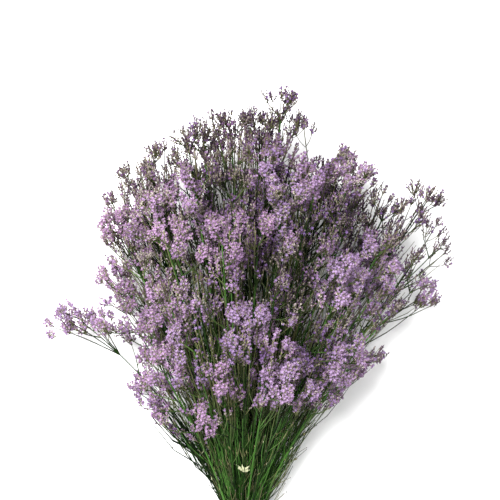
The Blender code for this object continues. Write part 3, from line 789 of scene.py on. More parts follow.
def fan_spikes(feet, headings, upward, spikes, rng, spread=1.0, size=1.0):
    """Spikes that fill the cone of each head: one up its middle and the others round it.

    A spike is a curve with three pulls. It starts part of the way up the head's axis, and ends at
    a share of the head's length and radius, drawn towards the way that the whole spray grows. The
    middle pull is bowed out, so that the spikes of a head stand side by side like fingers.
    """
    heads = len(feet)
    shape = (heads, spikes, 1)
    first, second = (side[:, 0] for side in across_frames(headings[:, None]))
    turns = rng.uniform(0, WHOLE_TURN, (heads, 1)) + np.arange(spikes) * WHOLE_TURN / (spikes - 1)
    turns = (turns + rng.uniform(*SPIKE_TURNED, (heads, spikes)))[..., None]
    out = first[:, None] * np.cos(turns) + second[:, None] * np.sin(turns)
    middle = (np.arange(spikes) == 0)[None, :, None]
    start = np.where(middle, 0.0, rng.uniform(*SPIKE_START, shape))
    reach = np.where(middle, rng.uniform(*MIDDLE_REACH, shape), rng.uniform(*SIDE_REACH, shape))
    width = np.where(middle, rng.uniform(*MIDDLE_OUT, shape), rng.uniform(*SIDE_OUT, shape))
    width = width * spread
    length = HEAD_LENGTH * size
    up = headings[:, None] * length
    foot = feet[:, None] + up * start
    end_way = (up * HEAD_WAY + upward * length * SPRAY_WAY) * reach
    tip = feet[:, None] + end_way + out * HEAD_RADIUS * width
    bow = (foot + tip) / 2 + out * HEAD_RADIUS * width * SPIKE_BOW - upward * length * SPIKE_SAG
    return np.stack([foot, bow, tip], axis=2).reshape(-1, 3, 3)


def on_way(way, joints):
    """Places and headings on a path, at numbers of joints along it that need not be whole."""
    low = np.minimum(joints.astype(int), len(way) - 2)
    step = way[low + 1] - way[low]
    return way[low] + step * (joints - low)[:, None], unit(step)


def limb_spikes(ways, sparseness, rng):
    """Short spikes along the outer part of limbs, one to a gap, leaning out from them."""
    pulls = []
    for way in ways:
        length = np.linalg.norm(np.diff(way, axis=0), axis=1).sum()
        gap = sparseness * np.interp(way[-1, 1], SPIKE_GAP_PLACES, SPIKE_GAPS)
        gap /= 1 + CLOSER_IN_BLOOM * float(nearness(seen_from_above(way[-1:]), IN_BLOOM)[0])
        count = max(2, int(length * LIMB_SPIKE_PART / gap))
        foot, heading = on_way(way, rng.uniform(*LIMB_SPIKE_ROOTS, count) * (len(way) - 1))
        side = unit(np.cross(heading, rng.normal(size=(count, 3))))
        size = rng.uniform(*LIMB_SPIKE_LENGTH, count)[:, None]
        bow, tip = (
            foot + (heading * up + side * out) * size
            for up, out in (LIMB_SPIKE_MIDDLE, LIMB_SPIKE_TIP)
        )
        pulls.append(np.stack([foot, bow, tip], axis=1))
    return np.concatenate(pulls)


def add_spikes(growth, pulls, flowers, first_share, freshness, habit, rng):
    """The stalk of each spike, and its flowers and buds in rows up it with one at its tip.

    The curve at share s is foot (1-s)^2 + 2 bow s(1-s) + tip s^2, and its heading is the slope of
    that. A flower leans from the heading to alternate sides: open ones well out, buds close in.
    """
    count = len(pulls)
    each, by_spike = (count, flowers), (count, 1)
    tint, cups, hue = habit
    foot, bow, tip = (pulls[:, k, None] for k in range(3))
    t = np.linspace(0, 1, 3)[None, :, None]
    ways = foot * (1 - t) ** 2 + 2 * bow * t * (1 - t) + tip * t**2
    tips = seen_from_above(pulls[:, 2])
    tones = rng.uniform(*SPIKE_TONES, count) + STALKS_IN_BLOOM * nearness(tips, IN_BLOOM)
    # painted shade: spike stalks are darker in the shade spots
    tones = np.minimum(tones, 1.0) * (1 - STALKS_PAINTED_SHADE * nearness(tips, PAINTED_SHADE_SPOTS))
    add_stalks(growth, ways, SPIKE_WIDTHS, THIN_SIDES, tones, (BRANCH_TOP, STALK_TIP))

    s = np.linspace(first_share, 1.0, flowers) + rng.uniform(*FLOWER_SLIP, each)
    s = np.clip(s, 0, 1)[..., None]
    places = foot * (1 - s) ** 2 + 2 * bow * s * (1 - s) + tip * s**2
    headings = unit((bow - foot) * (1 - s) + (tip - bow) * s)
    seen = seen_from_above(places)
    shade, papery = nearness(seen, PAINTED_SHADE_SPOTS), nearness(seen, PAPERY)
    bloom = np.minimum(1.0, FULL_BLOOM * nearness(seen, IN_BLOOM))
    bloom = bloom * freshness * (1 - BLOOM_SHADED * shade)
    draw = rng.uniform(size=each) + rng.normal(0, SPIKE_VARIES, by_spike)
    higher = np.linspace(*HIGHER_UP, flowers)
    open_share = OPEN_ANYWHERE * (1 - shade) + OPEN_IN_BLOOM * bloom
    is_star = draw < open_share * higher * (1 - OPEN_PAPERY * papery)
    cup_share = (cups + CUPS_PAPERY * papery) * (CUPS_LOWER_DOWN - higher)
    is_cup = ~is_star & (rng.uniform(size=each) < cup_share * (1 - CUPS_SHADED * shade))
    is_bud = ~is_star & ~is_cup

    side = unit(np.cross(headings, unit(rng.normal(size=(count, 1, 3)))))
    turn = (np.arange(flowers) * FLOWER_TURN)[None, :, None]
    turn = turn + rng.uniform(*FLOWER_TURNED, (*each, 1))
    side = side * np.cos(turn) + np.cross(headings, side) * np.sin(turn)
    lean = np.where(is_star, rng.uniform(*STAR_LEAN, each), rng.uniform(*BUD_LEAN, each))
    lean = np.tan(np.radians(lean))[..., None]
    lean[:, -1] *= TIP_LEAN
    look = unit(headings + side * lean + is_star[..., None] * STAR_UPTURN)
    tone = tint + TONE_ANYWHERE + TONE_IN_BLOOM * bloom + TONE_PAPERY * papery
    # painted shade: flowers are darker in the shade spots
    tone = tone - PAINTED_SHADE_DEPTH * shade
    tone = tone + SPIKE_TONE_VARIES * (rng.uniform(size=by_spike) - SPIKE_TONE_LOW)
    tone = np.clip(tone + rng.uniform(*FLOWER_TONE_VARIES, each), *TONE_ENDS)
    for chosen, form, lengths, radii, rows in (
        (is_star, STAR, STAR_LENGTH, STAR_RADIUS, (CUP_FOOT, PETAL_RIM + hue)),
        (is_cup, CUP, CUP_LENGTH, CUP_RADIUS, (CUP_FOOT, CUP_RIM)),
        (is_bud, BUD, BUD_LENGTH, BUD_RADIUS, (BUD_FOOT, BUD_TIP)),
    ):
        found = int(chosen.sum())
        if not found:
            continue
        wide = rng.uniform(*radii, found)
        size = rng.uniform(*lengths, found)
        roll = rng.uniform(0, WHOLE_TURN, found)
        around_it = (places[chosen], look[chosen], size, (wide, wide), roll, tone[chosen])
        add_forms(growth, form, *around_it, rows)


# ----------------------------------------
# The finish of a spray: dull green stalks, brownish purple buds, beige papery cups and lilac
# petals that are paler at the rim. Its chart runs up the plant, and across from old to fresh;
# the old end also gives the painted shade.
SPRAY_GLOSS = 0.05
MOTTLE_NOISE = {"Scale": 70.0, "Detail": 2.0}
MOTTLE_SPREAD = {"From Min": 0.3, "From Max": 0.7, "To Min": 0.64, "To Max": 1.08}
DRY_SPREAD = {"From Min": STALK_TIP, "From Max": CUP_FOOT, "To Min": 0.48, "To Max": 0.78}

# Up the chart: its row, and the plant's colour there when old, which also serves as painted shade,
# and when fresh
PLANT_COLOURS = (
    (0.000, (0.42, 0.42, 0.26), (0.62, 0.62, 0.42)),
    (0.030, (0.34, 0.36, 0.20), (0.50, 0.52, 0.32)),
    (0.055, (0.003, 0.011, 0.002), (0.074, 0.204, 0.032)),
    (0.280, (0.003, 0.010, 0.002), (0.078, 0.184, 0.040)),
    (0.360, (0.010, 0.013, 0.007), (0.150, 0.166, 0.066)),
    (0.410, (0.034, 0.032, 0.018), (0.210, 0.195, 0.090)),
    (0.440, (0.026, 0.024, 0.014), (0.110, 0.104, 0.050)),
    (0.520, (0.032, 0.020, 0.030), (0.185, 0.110, 0.158)),
    (0.600, (0.050, 0.026, 0.068), (0.278, 0.155, 0.292)),
    (0.640, (0.054, 0.050, 0.026), (0.140, 0.132, 0.064)),
    (0.740, (0.250, 0.205, 0.185), (0.620, 0.560, 0.520)),
    (0.790, (0.080, 0.044, 0.100), (0.265, 0.150, 0.272)),
    (0.845, (0.140, 0.072, 0.152), (0.382, 0.228, 0.374)),
    (0.895, (0.114, 0.070, 0.180), (0.324, 0.238, 0.390)),
    (0.940, (0.082, 0.046, 0.118), (0.290, 0.172, 0.320)),
    (0.980, (0.056, 0.028, 0.072), (0.155, 0.074, 0.168)),
)


def add_node(material, kind, sources, values={}, **settings):
    """A node with its settings, the inputs that are constants and those fed by other nodes."""
    node = material.node_tree.nodes.new("ShaderNode" + kind)
    for name, value in settings.items():
        setattr(node, name, value)
    set_inputs(node, values)
    for name, source in sources.items():
        material.node_tree.links.new(source, node.inputs[name])
    return node


def colour_run(material, source, colours):
    """The colour that a ramp with these stops gives for a source."""
    ramp = add_node(material, "ValToRGB", {"Fac": source})
    stops = ramp.color_ramp.elements
    for place, colour in colours[1:-1]:
        stops.new(place).color = (*colour, 1.0)
    stops[0].position, stops[0].color = colours[0][0], (*colours[0][1], 1.0)
    stops[-1].position, stops[-1].color = colours[-1][0], (*colours[-1][1], 1.0)
    return ramp.outputs["Color"]


def spray_finish():
    """Colour from the chart, mottled by fine noise on it; petals are rougher than stalks."""
    material, shader = new_material("statice_spray", {"Specular IOR Level": SPRAY_GLOSS})
    chart = add_node(material, "UVMap", {}, uv_map="OFBake").outputs["UV"]
    split = add_node(material, "SeparateXYZ", {"Vector": chart})
    freshness, part = split.outputs["X"], split.outputs["Y"]
    old = colour_run(material, part, [(row, colour) for row, colour, _ in PLANT_COLOURS])
    fresh = colour_run(material, part, [(row, colour) for row, _, colour in PLANT_COLOURS])
    sources = {"Factor": freshness, "A": old, "B": fresh}
    blend = add_node(material, "Mix", sources, data_type="RGBA")
    mottle = add_node(material, "TexNoise", {"Vector": chart}, MOTTLE_NOISE)
    spread = add_node(material, "MapRange", {"Value": mottle.outputs["Fac"]}, MOTTLE_SPREAD)
    sources = {0: blend.outputs["Result"], "Scale": spread.outputs["Result"]}
    tint = add_node(material, "VectorMath", sources, operation="SCALE")
    dry = add_node(material, "MapRange", {"Value": part}, DRY_SPREAD)
    links = material.node_tree.links
    links.new(tint.outputs["Vector"], shader.inputs["Base Color"])
    links.new(dry.outputs["Result"], shader.inputs["Roughness"])
    return material


# ----------------------------------------
# The flowering sprays: 56 plants, each its stem, forks, fine bare twigs low down, scales and
# flower spikes, in place of its plain node.
FIRST_FREE_RING = 3
LEADER_RING = 8
EDGE_RING = 9
STEM_TONE, STEM_TONE_VARIES, STEM_TONE_CURVE = 0.05, 0.9, 1.5
LIMB_TONE_VARIES = (-0.2, 0.2)
LIMB_TONE_ENDS = (0.03, 0.97)
LIMBS_PAINTED_SHADE = 0.8
CROWN_LIMB_BOW = 0.0008
LONE_STALK_END = 1.2
OUTER_ACROSS = 0.16
OUTER_SPARSENESS = 1.4

# A spray's tint, share of cups and hue. Covered ones are darkened by painted shade, far left ones
# are deeper violet.
TINT_VARIES = 0.08
COVERED_PAINTED_SHADE = 0.24
CUP_SHARE = (0.15, 1.0)
HUE_ACROSS = 0.14
HUE_SPREAD = 0.012
HUE_ENDS = (-0.03, 0.03)
VIOLET_ACROSS = -0.16
VIOLET_DEPTH = 0.25
VIOLET_HUE = VIOLET_DEPTH / 10

# Spikes by where they grow: flowers on each, where up it the first one sits, and how fresh
HEAD_SPIKES = (6, 0.26, 1.0)
LIMB_SPIKES = (5, 0.30, 0.9)
BRANCHLET_SPIKES = (5, 0.1, 0.6)
EDGE_SPIKES = (6, 0.15, 1.0)

# Branchlets: how many, how they grow, and where the bunch has no room for them
BRANCHLETS, COVERED_BRANCHLETS, WIDE_BRANCHLETS = 36, 112, 5
WIDE_SLOPE = 0.62
AIRY_PLACE = (-0.09, 0.27)
BRANCHLET_JOINTS = (2.6, 10.4)
BRANCHLET_LENGTH = (0.040, 0.105)
BRANCHLET_LEAN, COVERED_LEAN = (0.10, 0.46), (0.25, 0.95)
BRANCHLET_CURL = (1.2, 0.35)
BRANCHLET_WIDTHS, COVERED_WIDTHS = (0.00062, 0.00030), (0.00085, 0.00050)
BRANCHLET_LOWEST = 0.002
BRANCHLET_PAST_TOP = 0.02
BRANCHLET_TONES, BRANCHLET_TONE_CURVE = (0.02, 1.0), 2.0
IN_GAP, GAP_TONE, GAP_TONE_VARIES = 0.33, 0.50, 0.4
# Painted shade on branchlets: how dark covered ones are, and how much the shade spots darken them
COVERED_BRANCHLET_PAINTED_SHADE = 0.4
BRANCHLETS_PAINTED_SHADE = 0.95
FLOWERING_BRANCHLETS = 15
SCALES_EVERY = 3
GREEN_FOOT = 0.17
FOOT_ALONG = 0.066
FOOT_SIDES = np.array(((0.039, 0.28), (0.042, 0.45)))
FOOT_TOP = OUTLINE[-1, 1] + 0.03

# Fine bare twigs
FINE_TWIGS, AIRY_TWIGS = 7, 2
FINE_TWIG_JOINTS = (2.2, 6.8)
FINE_TWIG_LENGTH = (0.022, 0.062)
FINE_TWIG_LEAN = (0.18, 0.48)
FINE_TWIG_CURL = (1.3, 0.6)
FINE_TWIG_TONES = (0.2, 1.0)
FORK_OUT, FORK_LENGTH = 0.5, 0.38
DRY_TIP_RADIUS, DRY_TIP_LENGTH = (0.00035, 0.0006), (0.0018, 0.0032)
DRY_TIP_TONES, DRY_TIP_ROWS = (0.3, 1.0), (BUD_FOOT, BUD_FOOT + 0.05)

# Limbs that reach to the loose edge, and their forks: out from the limb and back from its end
EDGE_WIDTHS, EDGE_FORK_WIDTHS = (0.00066, 0.00050), (0.00050, 0.00042)
EDGE_BOW = 0.10
EDGE_FORK = (0.0085, 0.0060)
EDGE_FORK_VARIES = (0.7, 1.2)
EDGE_FORK_ROOT = 3
EDGE_FORK_BOW = 0.001
EDGE_FORK_LEAN = 0.45
EDGE_SPREAD, EDGE_SIZE = 0.72, 0.72
EDGE_TINT = 0.14
EDGE_CUPS = 0.5

# The tuft of pale bracts: its place, the way each bract looks, and their sizes from first to last
PALE_PLACE, PALE_ALONG, PALE_LIFT = -0.0024, 0.089, 0.005
PALE_LOOKS = ((-0.7, 0.8, 0.4), (0.7, 0.7, 0.4), (-0.1, 1.0, 0.4), (0.95, 0.3, 0.3))
PALE_LOOKS += ((0.3, 1.0, 0.6), (-0.4, 0.9, 0.7))
PALE_LENGTH, PALE_WIDTH, PALE_FLAT = (0.0125, 0.0060), 0.0017, 0.4
PALE_TONES, PALE_GRAIN, PALE_ROLLS = (0.95, 0.10), 0.05, (0, 2)
PALE_TWIG_WIDTHS, PALE_TWIG_TONE = (0.00060, 0.00030), 0.5


def inside_bunch(places):
    """Whether places are inside the flowering head, or below it within the fan of the stems."""
    half, slope = FOOT_SIDES[(places[:, 0] > 0).astype(int)].T
    in_fan = np.abs(places[:, 0]) < half + slope * (places[:, 1] - FOOT_ALONG)
    return inside_outline(places) | ((places[:, 1] < FOOT_TOP) & in_fan)


def is_airy(line):
    """Whether a stem leans out low at the left, where the table shows between thin stalks."""
    return line[-1, 0] < AIRY_PLACE[0] and line[-1, 1] < AIRY_PLACE[1]


def shoots(line, count, joints, lengths, leans, curl, rng):
    """Shoots from a stem: their feet, middles and ends, and how each grows.

    A shoot leaves the stem's heading leaning to one side, by the first curl, and from half way up
    it leans by the second. How it grows is that heading, side, length and lean.
    """
    foot, heading = on_way(line, rng.uniform(*joints, count))
    side = unit(np.cross(heading, rng.normal(size=(count, 3))))
    length, lean = rng.uniform(*lengths, count)[:, None], rng.uniform(*leans, count)[:, None]
    middle = foot + unit(heading + side * lean * curl[0]) * length / 2
    end = middle + unit(heading + side * lean * curl[1]) * length / 2
    return (foot, middle, end), (heading, side, length, lean)


def add_branchlets(growth, line, covered, rng):
    """Thin branchlets all up a stem, that fill the bunch between the stems with dark green.
    Covered ones, and those in the shade spots, are darkened further by painted shade.

    It gives the ways of those that flower.
    """
    wide = abs(line[-1, 0] - line[2, 0]) > WIDE_SLOPE * (line[-1, 1] - line[2, 1])
    few = WIDE_BRANCHLETS if wide or is_airy(line) else BRANCHLETS
    count, leans = (COVERED_BRANCHLETS, COVERED_LEAN) if covered else (few, BRANCHLET_LEAN)
    points, _ = shoots(line, count, BRANCHLET_JOINTS, BRANCHLET_LENGTH, leans, BRANCHLET_CURL, rng)
    end = points[2]
    kept = inside_bunch(seen_from_above(end)) & (end[:, 2] > BRANCHLET_LOWEST)
    kept &= end[:, 1] < line[-1, 1] + (0.0 if covered else BRANCHLET_PAST_TOP)
    steps = COVERED_STEPS if covered else FORK_STEPS
    ways = smooth_way(np.stack(points, axis=1)[kept], steps)
    tips = seen_from_above(ways[:, -1])
    tones = rng.uniform(*BRANCHLET_TONES, len(ways)) ** BRANCHLET_TONE_CURVE
    if covered:
        # painted shade: covered branchlets lie deep in the bunch
        tones = tones * COVERED_BRANCHLET_PAINTED_SHADE
    else:
        in_gap = nearness(tips, GREEN_GAPS) > IN_GAP
        tones = np.where(in_gap, GAP_TONE + GAP_TONE_VARIES * tones, tones)
    # painted shade in the shade spots
    tones *= 1 - BRANCHLETS_PAINTED_SHADE * nearness(tips, PAINTED_SHADE_SPOTS)
    widths = COVERED_WIDTHS if covered else BRANCHLET_WIDTHS
    green = ways[:, -1, 1] < GREEN_FOOT
    add_stalks(growth, ways[green], widths, THIN_SIDES, tones[green], (STEM_FOOT, STEM_TOP))
    if green.any():
        # scales at the tips of every third green low branchlet; the pale ones are partly painted
        # glints
        low_ways = ways[green][::SCALES_EVERY]
        add_scales(growth, low_ways[:, -2], unit(low_ways[:, -1] - low_ways[:, -2]), rng)
    shades = (STEM_TOP, BRANCH_TOP if covered else STALK_TIP)
    add_stalks(growth, ways[~green], widths, THIN_SIDES, tones[~green], shades)
    return ways[~green][:FLOWERING_BRANCHLETS]


def add_fine_twigs(growth, line, rng, count, joints):
    """Hair-thin bare twigs up a stem, each forked once, that curve back to the stem's way."""
    (foot, middle, end), (heading, side, length, lean) = shoots(
        line, count, joints, FINE_TWIG_LENGTH, FINE_TWIG_LEAN, FINE_TWIG_CURL, rng
    )
    fork = unit(np.cross(heading, rng.normal(size=(count, 3))))
    fork_end = middle + unit(heading + side * lean + fork * FORK_OUT) * length * FORK_LENGTH
    kept = inside_bunch(seen_from_above(end))
    foot, middle, end, fork_end = (points[kept] for points in (foot, middle, end, fork_end))
    tones = rng.uniform(*FINE_TWIG_TONES, len(foot))
    ways = smooth_way(np.stack([foot, middle, end], axis=1), BRANCH_STEPS)
    add_stalks(growth, ways, TWIG_WIDTHS, TWIG_SIDES, tones, (STEM_TOP, STALK_TIP))
    ways = smooth_way(np.stack([middle, (middle + fork_end) / 2, fork_end], axis=1), FORK_STEPS)
    add_stalks(growth, ways, TWIG_WIDTHS, THIN_SIDES, tones, (BRANCH_TOP, STALK_TIP))
    tips = np.concatenate([end, fork_end])
    looks = unit(np.concatenate([end - middle, fork_end - middle]))
    wide = rng.uniform(*DRY_TIP_RADIUS, len(tips))
    u = rng.uniform(*DRY_TIP_TONES, len(tips))
    size = rng.uniform(*DRY_TIP_LENGTH, len(tips))
    rolls = np.zeros(len(tips))
    add_forms(growth, BUD, tips, looks, size, (wide, wide), rolls, u, DRY_TIP_ROWS)


def add_pale_bracts(growth, line):
    """A tuft of pale papery bracts, where a stem on top of the bunch passes the given place."""
    place = np.array([np.interp(PALE_ALONG, line[:, 1], line[:, side]) for side in range(3)])
    looks = unit(np.array(PALE_LOOKS))
    count = len(looks)
    feet = np.repeat(place[None], count, axis=0) + (0.0, 0.0, PALE_LIFT)
    twig = np.stack([place, place + (0.0, PALE_LIFT / 4, PALE_LIFT / 2), feet[0]])[None]
    tones = [PALE_TWIG_TONE]
    add_stalks(growth, twig, PALE_TWIG_WIDTHS, TWIG_SIDES, tones, (STEM_TOP, BRANCH_TOP))
    wide = np.full(count, PALE_WIDTH)
    size, u, rolls = (np.linspace(*ends, count) for ends in (PALE_LENGTH, PALE_TONES, PALE_ROLLS))
    sizes = (size, (wide, wide * PALE_FLAT), rolls)
    add_forms(growth, BUD, feet, looks, *sizes, u, (CUT_PITH, PITH_END), PALE_GRAIN)


def add_edge_tips(growth, spray, tips, tone, habit, rng):
    """Limbs from the last joints of a stem to its edge tips, that end in three forks of fingers."""
    line, axis = spray["line"], spray["axis"]
    tint, cups, hue = habit
    ends = np.array([(*tip, line[-1, 2]) for tip in tips])
    starts = np.repeat(line[EDGE_RING][None], len(ends), axis=0)
    heading = unit(ends - starts)
    middle = (starts + ends) / 2 + (line[-1] - line[EDGE_RING]) * EDGE_BOW
    tones = [tone / 2] * len(ends)
    limbs = smooth_way(np.stack([starts, middle, ends], axis=1), BRANCH_STEPS)
    add_stalks(growth, limbs, EDGE_WIDTHS, TWIG_SIDES, tones, (STEM_TOP, STALK_TIP))
    side = unit(np.cross(heading, (0.0, 0.0, 1.0)))
    feet, looks = [ends], [heading]
    for turn in (-1, 1):
        out = side * turn * EDGE_FORK[0] * rng.uniform(*EDGE_FORK_VARIES, (len(ends), 1))
        fork = ends + out - heading * EDGE_FORK[1]
        root = ends - heading * EDGE_FORK[1] * EDGE_FORK_ROOT
        bow = (root + fork) / 2 + side * turn * EDGE_FORK_BOW
        forks = smooth_way(np.stack([root, bow, fork], axis=1), FORK_STEPS)
        add_stalks(growth, forks, EDGE_FORK_WIDTHS, THIN_SIDES, tones, (BRANCH_TOP, STALK_TIP))
        feet.append(fork)
        looks.append(unit(heading + side * turn * EDGE_FORK_LEAN))
    feet, looks = np.concatenate(feet), np.concatenate(looks)
    fans = fan_spikes(feet, looks, axis, SPIKES_TO_A_HEAD, rng, EDGE_SPREAD, EDGE_SIZE)
    add_spikes(growth, fans, *EDGE_SPIKES, (tint + EDGE_TINT, cups * EDGE_CUPS, hue), rng)


def spray_habit(spray, rng):
    """How one plant flowers: its tint, with painted shade if it is covered, its share of withered
    cups and its hue.
    """
    across = spray["line"][-1, 0]
    # a covered spray's tint is darkened as painted shade
    tint = rng.normal(0, TINT_VARIES) - (COVERED_PAINTED_SHADE if spray["covered"] else 0)
    hue = HUE_ACROSS * across + rng.normal(0, HUE_SPREAD)
    if across < VIOLET_ACROSS:
        tint, hue = tint - VIOLET_DEPTH, hue + VIOLET_HUE
    return tint, rng.uniform(*CUP_SHARE), np.clip(hue, *HUE_ENDS)


def grow_spray(spray, number, tips):
    """One whole flowering plant on the skeleton that the plan gives."""
    rng = np.random.default_rng((SEED, number, 1))
    growth, line, axis = Growth(), spray["line"], spray["axis"]
    neck = line[-1] + axis * CROWN_NECK
    tone = STEM_TONE + STEM_TONE_VARIES * rng.uniform() ** STEM_TONE_CURVE
    stem = smooth_way(np.concatenate([line, neck[None]])[None], STEM_STEPS)
    widths = THIN_STEM if line[-1, 0] > OUTER_ACROSS or is_airy(line) else STEM_WIDTHS
    # the stem is darkened by painted shade where it passes the shade spots
    stem_tones = tone * (1 - STALKS_PAINTED_SHADE * nearness(seen_from_above(stem), PAINTED_SHADE_SPOTS))
    add_stalks(growth, stem, widths, STEM_SIDES, stem_tones, (STEM_FOOT, STEM_TOP), cut=True)

    limbs, heads = [], []
    for ring, (middle, end, tuft_axis, twist, lone) in spray["branches"].items():
        limbs.append((line[ring], middle, end))
        base = end - tuft_axis * KNUCKLE_INSET
        heads += [(base, way) for way in head_directions(tuft_axis, twist)]
        if lone is not None:
            foot = middle + lone * LONE_STALK
            heads.append((foot, lone))
            tip = middle + lone * LONE_STALK * LONE_STALK_END
            stalk = np.stack([middle, middle + lone * LONE_STALK / 2, tip])[None]
            add_stalks(growth, stalk, TWIG_WIDTHS, THIN_SIDES, [tone], (BRANCH_TOP, STALK_TIP))
    for direction, end, tuft_axis, twist in spray["crown"]:
        limbs.append((neck, (neck + end) / 2 + direction * CROWN_LIMB_BOW, end))
        base = end - tuft_axis * KNUCKLE_INSET
        heads += [(base, way) for way in head_directions(tuft_axis, twist)]
    add_twigs(growth, spray, tone)
    limb_ways = smooth_way(np.array(limbs), BRANCH_STEPS)
    tones = np.clip(tone + rng.uniform(*LIMB_TONE_VARIES, len(limbs)), *LIMB_TONE_ENDS)
    # painted shade: limbs that end in the shade spots are darker
    tones *= 1 - LIMBS_PAINTED_SHADE * nearness(seen_from_above(limb_ways[:, -1]), PAINTED_SHADE_SPOTS)
    add_stalks(growth, limb_ways, BRANCH_WIDTHS, LIMB_SIDES, tones, (STEM_TOP, BRANCH_TOP))
    add_fine_twigs(growth, line, rng, AIRY_TWIGS if is_airy(line) else FINE_TWIGS, FINE_TWIG_JOINTS)
    add_joint_scales(growth, line, rng)

    habit = spray_habit(spray, rng)
    feet, looks = (np.array(part) for part in zip(*heads))
    fans = kept_spikes(fan_spikes(feet, looks, axis, SPIKES_TO_A_HEAD, rng), rng)
    add_spikes(growth, fans, *HEAD_SPIKES, habit, rng)
    leader = smooth_way(np.concatenate([line[LEADER_RING:], neck[None]])[None], FORK_STEPS)[0]
    sparseness = OUTER_SPARSENESS if line[-1, 0] > OUTER_ACROSS else 1.0
    beside = kept_spikes(limb_spikes([*limb_ways, leader], sparseness, rng), rng)
    add_spikes(growth, beside, *LIMB_SPIKES, habit, rng)
    low_ways = add_branchlets(growth, line, spray["covered"], rng)
    if len(low_ways):
        ends, looks = low_ways[:, -1], unit(low_ways[:, -1] - low_ways[:, -2])
        fans = kept_spikes(fan_spikes(ends, looks, axis, SPIKES_TO_A_BRANCHLET, rng), rng)
        add_spikes(growth, fans, *BRANCHLET_SPIKES, habit, rng)
    if len(tips):
        add_edge_tips(growth, spray, tips, tone, habit, rng)
    return growth


def add_twigs(growth, spray, tone):
    """The bare twigs that the plan gives a stem."""
    for middle, end in spray["twigs"].values():
        points = np.stack([spray["line"][TWIG_RING], middle, end])[None]
        way = smooth_way(points, BRANCH_STEPS)
        add_stalks(growth, way, TWIG_WIDTHS, TWIG_SIDES, [tone], (STEM_TOP, STALK_TIP))


def add_joint_scales(growth, line, rng):
    """A scale at each joint of a stem above the twine."""
    joints, after = line[FIRST_FREE_RING:-1], line[FIRST_FREE_RING + 1 :]
    add_scales(growth, joints, unit(after - joints), rng)


# Tips that stand out past their neighbours and make the head's loose edge: (across, along), in
# tenths of a millimetre
EDGE_TIPS = [(416, 5000), (-326, 4740), (-87, 4610), (77, 4790), (317, 4800), (-414, 4580)]
EDGE_TIPS += [(-30, 4450), (132, 4500), (295, 4550), (-228, 4470), (-360, 4400), (100, 4360)]
EDGE_TIPS += [(360, 4400), (459, 4380), (513, 4220), (437, 4100), (560, 4040), (600, 4740)]
EDGE_TIPS += [(208, 4740), (120, 4800), (40, 4620), (187, 4580), (480, 4460), (263, 4460)]
EDGE_TIPS += [(670, 4660), (-60, 4380), (-219, 4520), (-512, 4300), (-525, 4550), (-660, 3840)]
EDGE_TIPS += [(-300, 4200), (22, 3820), (-840, 4180), (-860, 4420), (-1080, 4240)]
EDGE_TIPS += [(-1028, 4100), (-719, 4320), (-1194, 3940), (-918, 3940), (-1083, 3770)]
EDGE_TIPS += [(-1280, 3720), (-1340, 3980), (-1440, 3640), (-1400, 3030), (-1010, 3220)]
EDGE_TIPS += [(-900, 3040), (-1040, 3380), (-1160, 3520), (-1520, 3070), (-1540, 2580)]
EDGE_TIPS += [(-2090, 2490), (-1900, 2540), (515, 4150), (640, 4260), (800, 4230), (960, 4200)]
EDGE_TIPS += [(1210, 4280), (1340, 4110), (1413, 3800), (1520, 3940), (1640, 3720)]
EDGE_TIPS += [(1690, 3560), (1860, 3840), (2050, 3940), (2130, 3600), (2210, 3290)]
EDGE_TIPS += [(2060, 2860), (-1150, 1860), (160, 2620), (240, 2440), (1060, 3080)]
EDGE_TIPS += [(1240, 3040), (-940, 2680), (-900, 2500), (380, 2000), (540, 2040), (1140, 2980)]
EDGE_TIPS += [(-180, 3520)]
EDGE_TIPS = np.array(EDGE_TIPS) / (10 * MILLIMETRES)
TIP_PAST_TOP = (0.0, 0.02)

stem_tops = np.array([spray["line"][-1] for _, spray in flowering])
tips_apart = EDGE_TIPS[:, None] - stem_tops[None, :, :2] - TIP_PAST_TOP
owners = np.linalg.norm(tips_apart, axis=-1).argmin(axis=1)

on_top = [spray["line"] for _, spray in flowering[-len(LAYERS[-1]) :]]
passes = [abs(np.interp(PALE_ALONG, line[:, 1], line[:, 0]) - PALE_PLACE) for line in on_top]
pale_one = len(flowering) - len(on_top) + int(np.argmin(passes))

lilac_finish = spray_finish()
for grown, (number, spray) in enumerate(flowering):
    growth = grow_spray(spray, number, EDGE_TIPS[owners == grown])
    if grown == pale_one:
        add_pale_bracts(growth, spray["line"])
    piece = growth.piece(f"statice_{grown + 1:02d}", lilac_finish)
    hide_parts(f"spray_{grown + 1:02d}")
    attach(piece, "root")

# ----------------------------------------
# The bare twig: one stem at the right whose flowers have dropped. It is the same green wood, with
# thin forks and a few dry tips, in place of its plain node.
BARE_WIDTHS = (0.00125, 0.0004)
BARE_TONE = 0.5
BARE_FORKS = 5
BARE_JOINTS = (3.0, 10.9)
WOOD_NOISE = {"Scale": 60.0, "Detail": 3.0}
WOOD_ROUGHNESS = 0.5
WOOD_COLOURS = (
    (0.30, (0.036, 0.064, 0.018)),
    (0.50, (0.074, 0.108, 0.032)),
    (0.70, (0.125, 0.118, 0.055)),
)


def noisy_finish(name, noise_values, colours, roughness):
    """A finish whose colour follows noise in the piece's own space, its shader and that noise."""
    material, shader = new_material(name, {"Roughness": roughness})
    where = add_node(material, "TexCoord", {}).outputs["Object"]
    noise = add_node(material, "TexNoise", {"Vector": where}, noise_values).outputs["Fac"]
    material.node_tree.links.new(colour_run(material, noise, colours), shader.inputs["Base Color"])
    return material, shader, noise


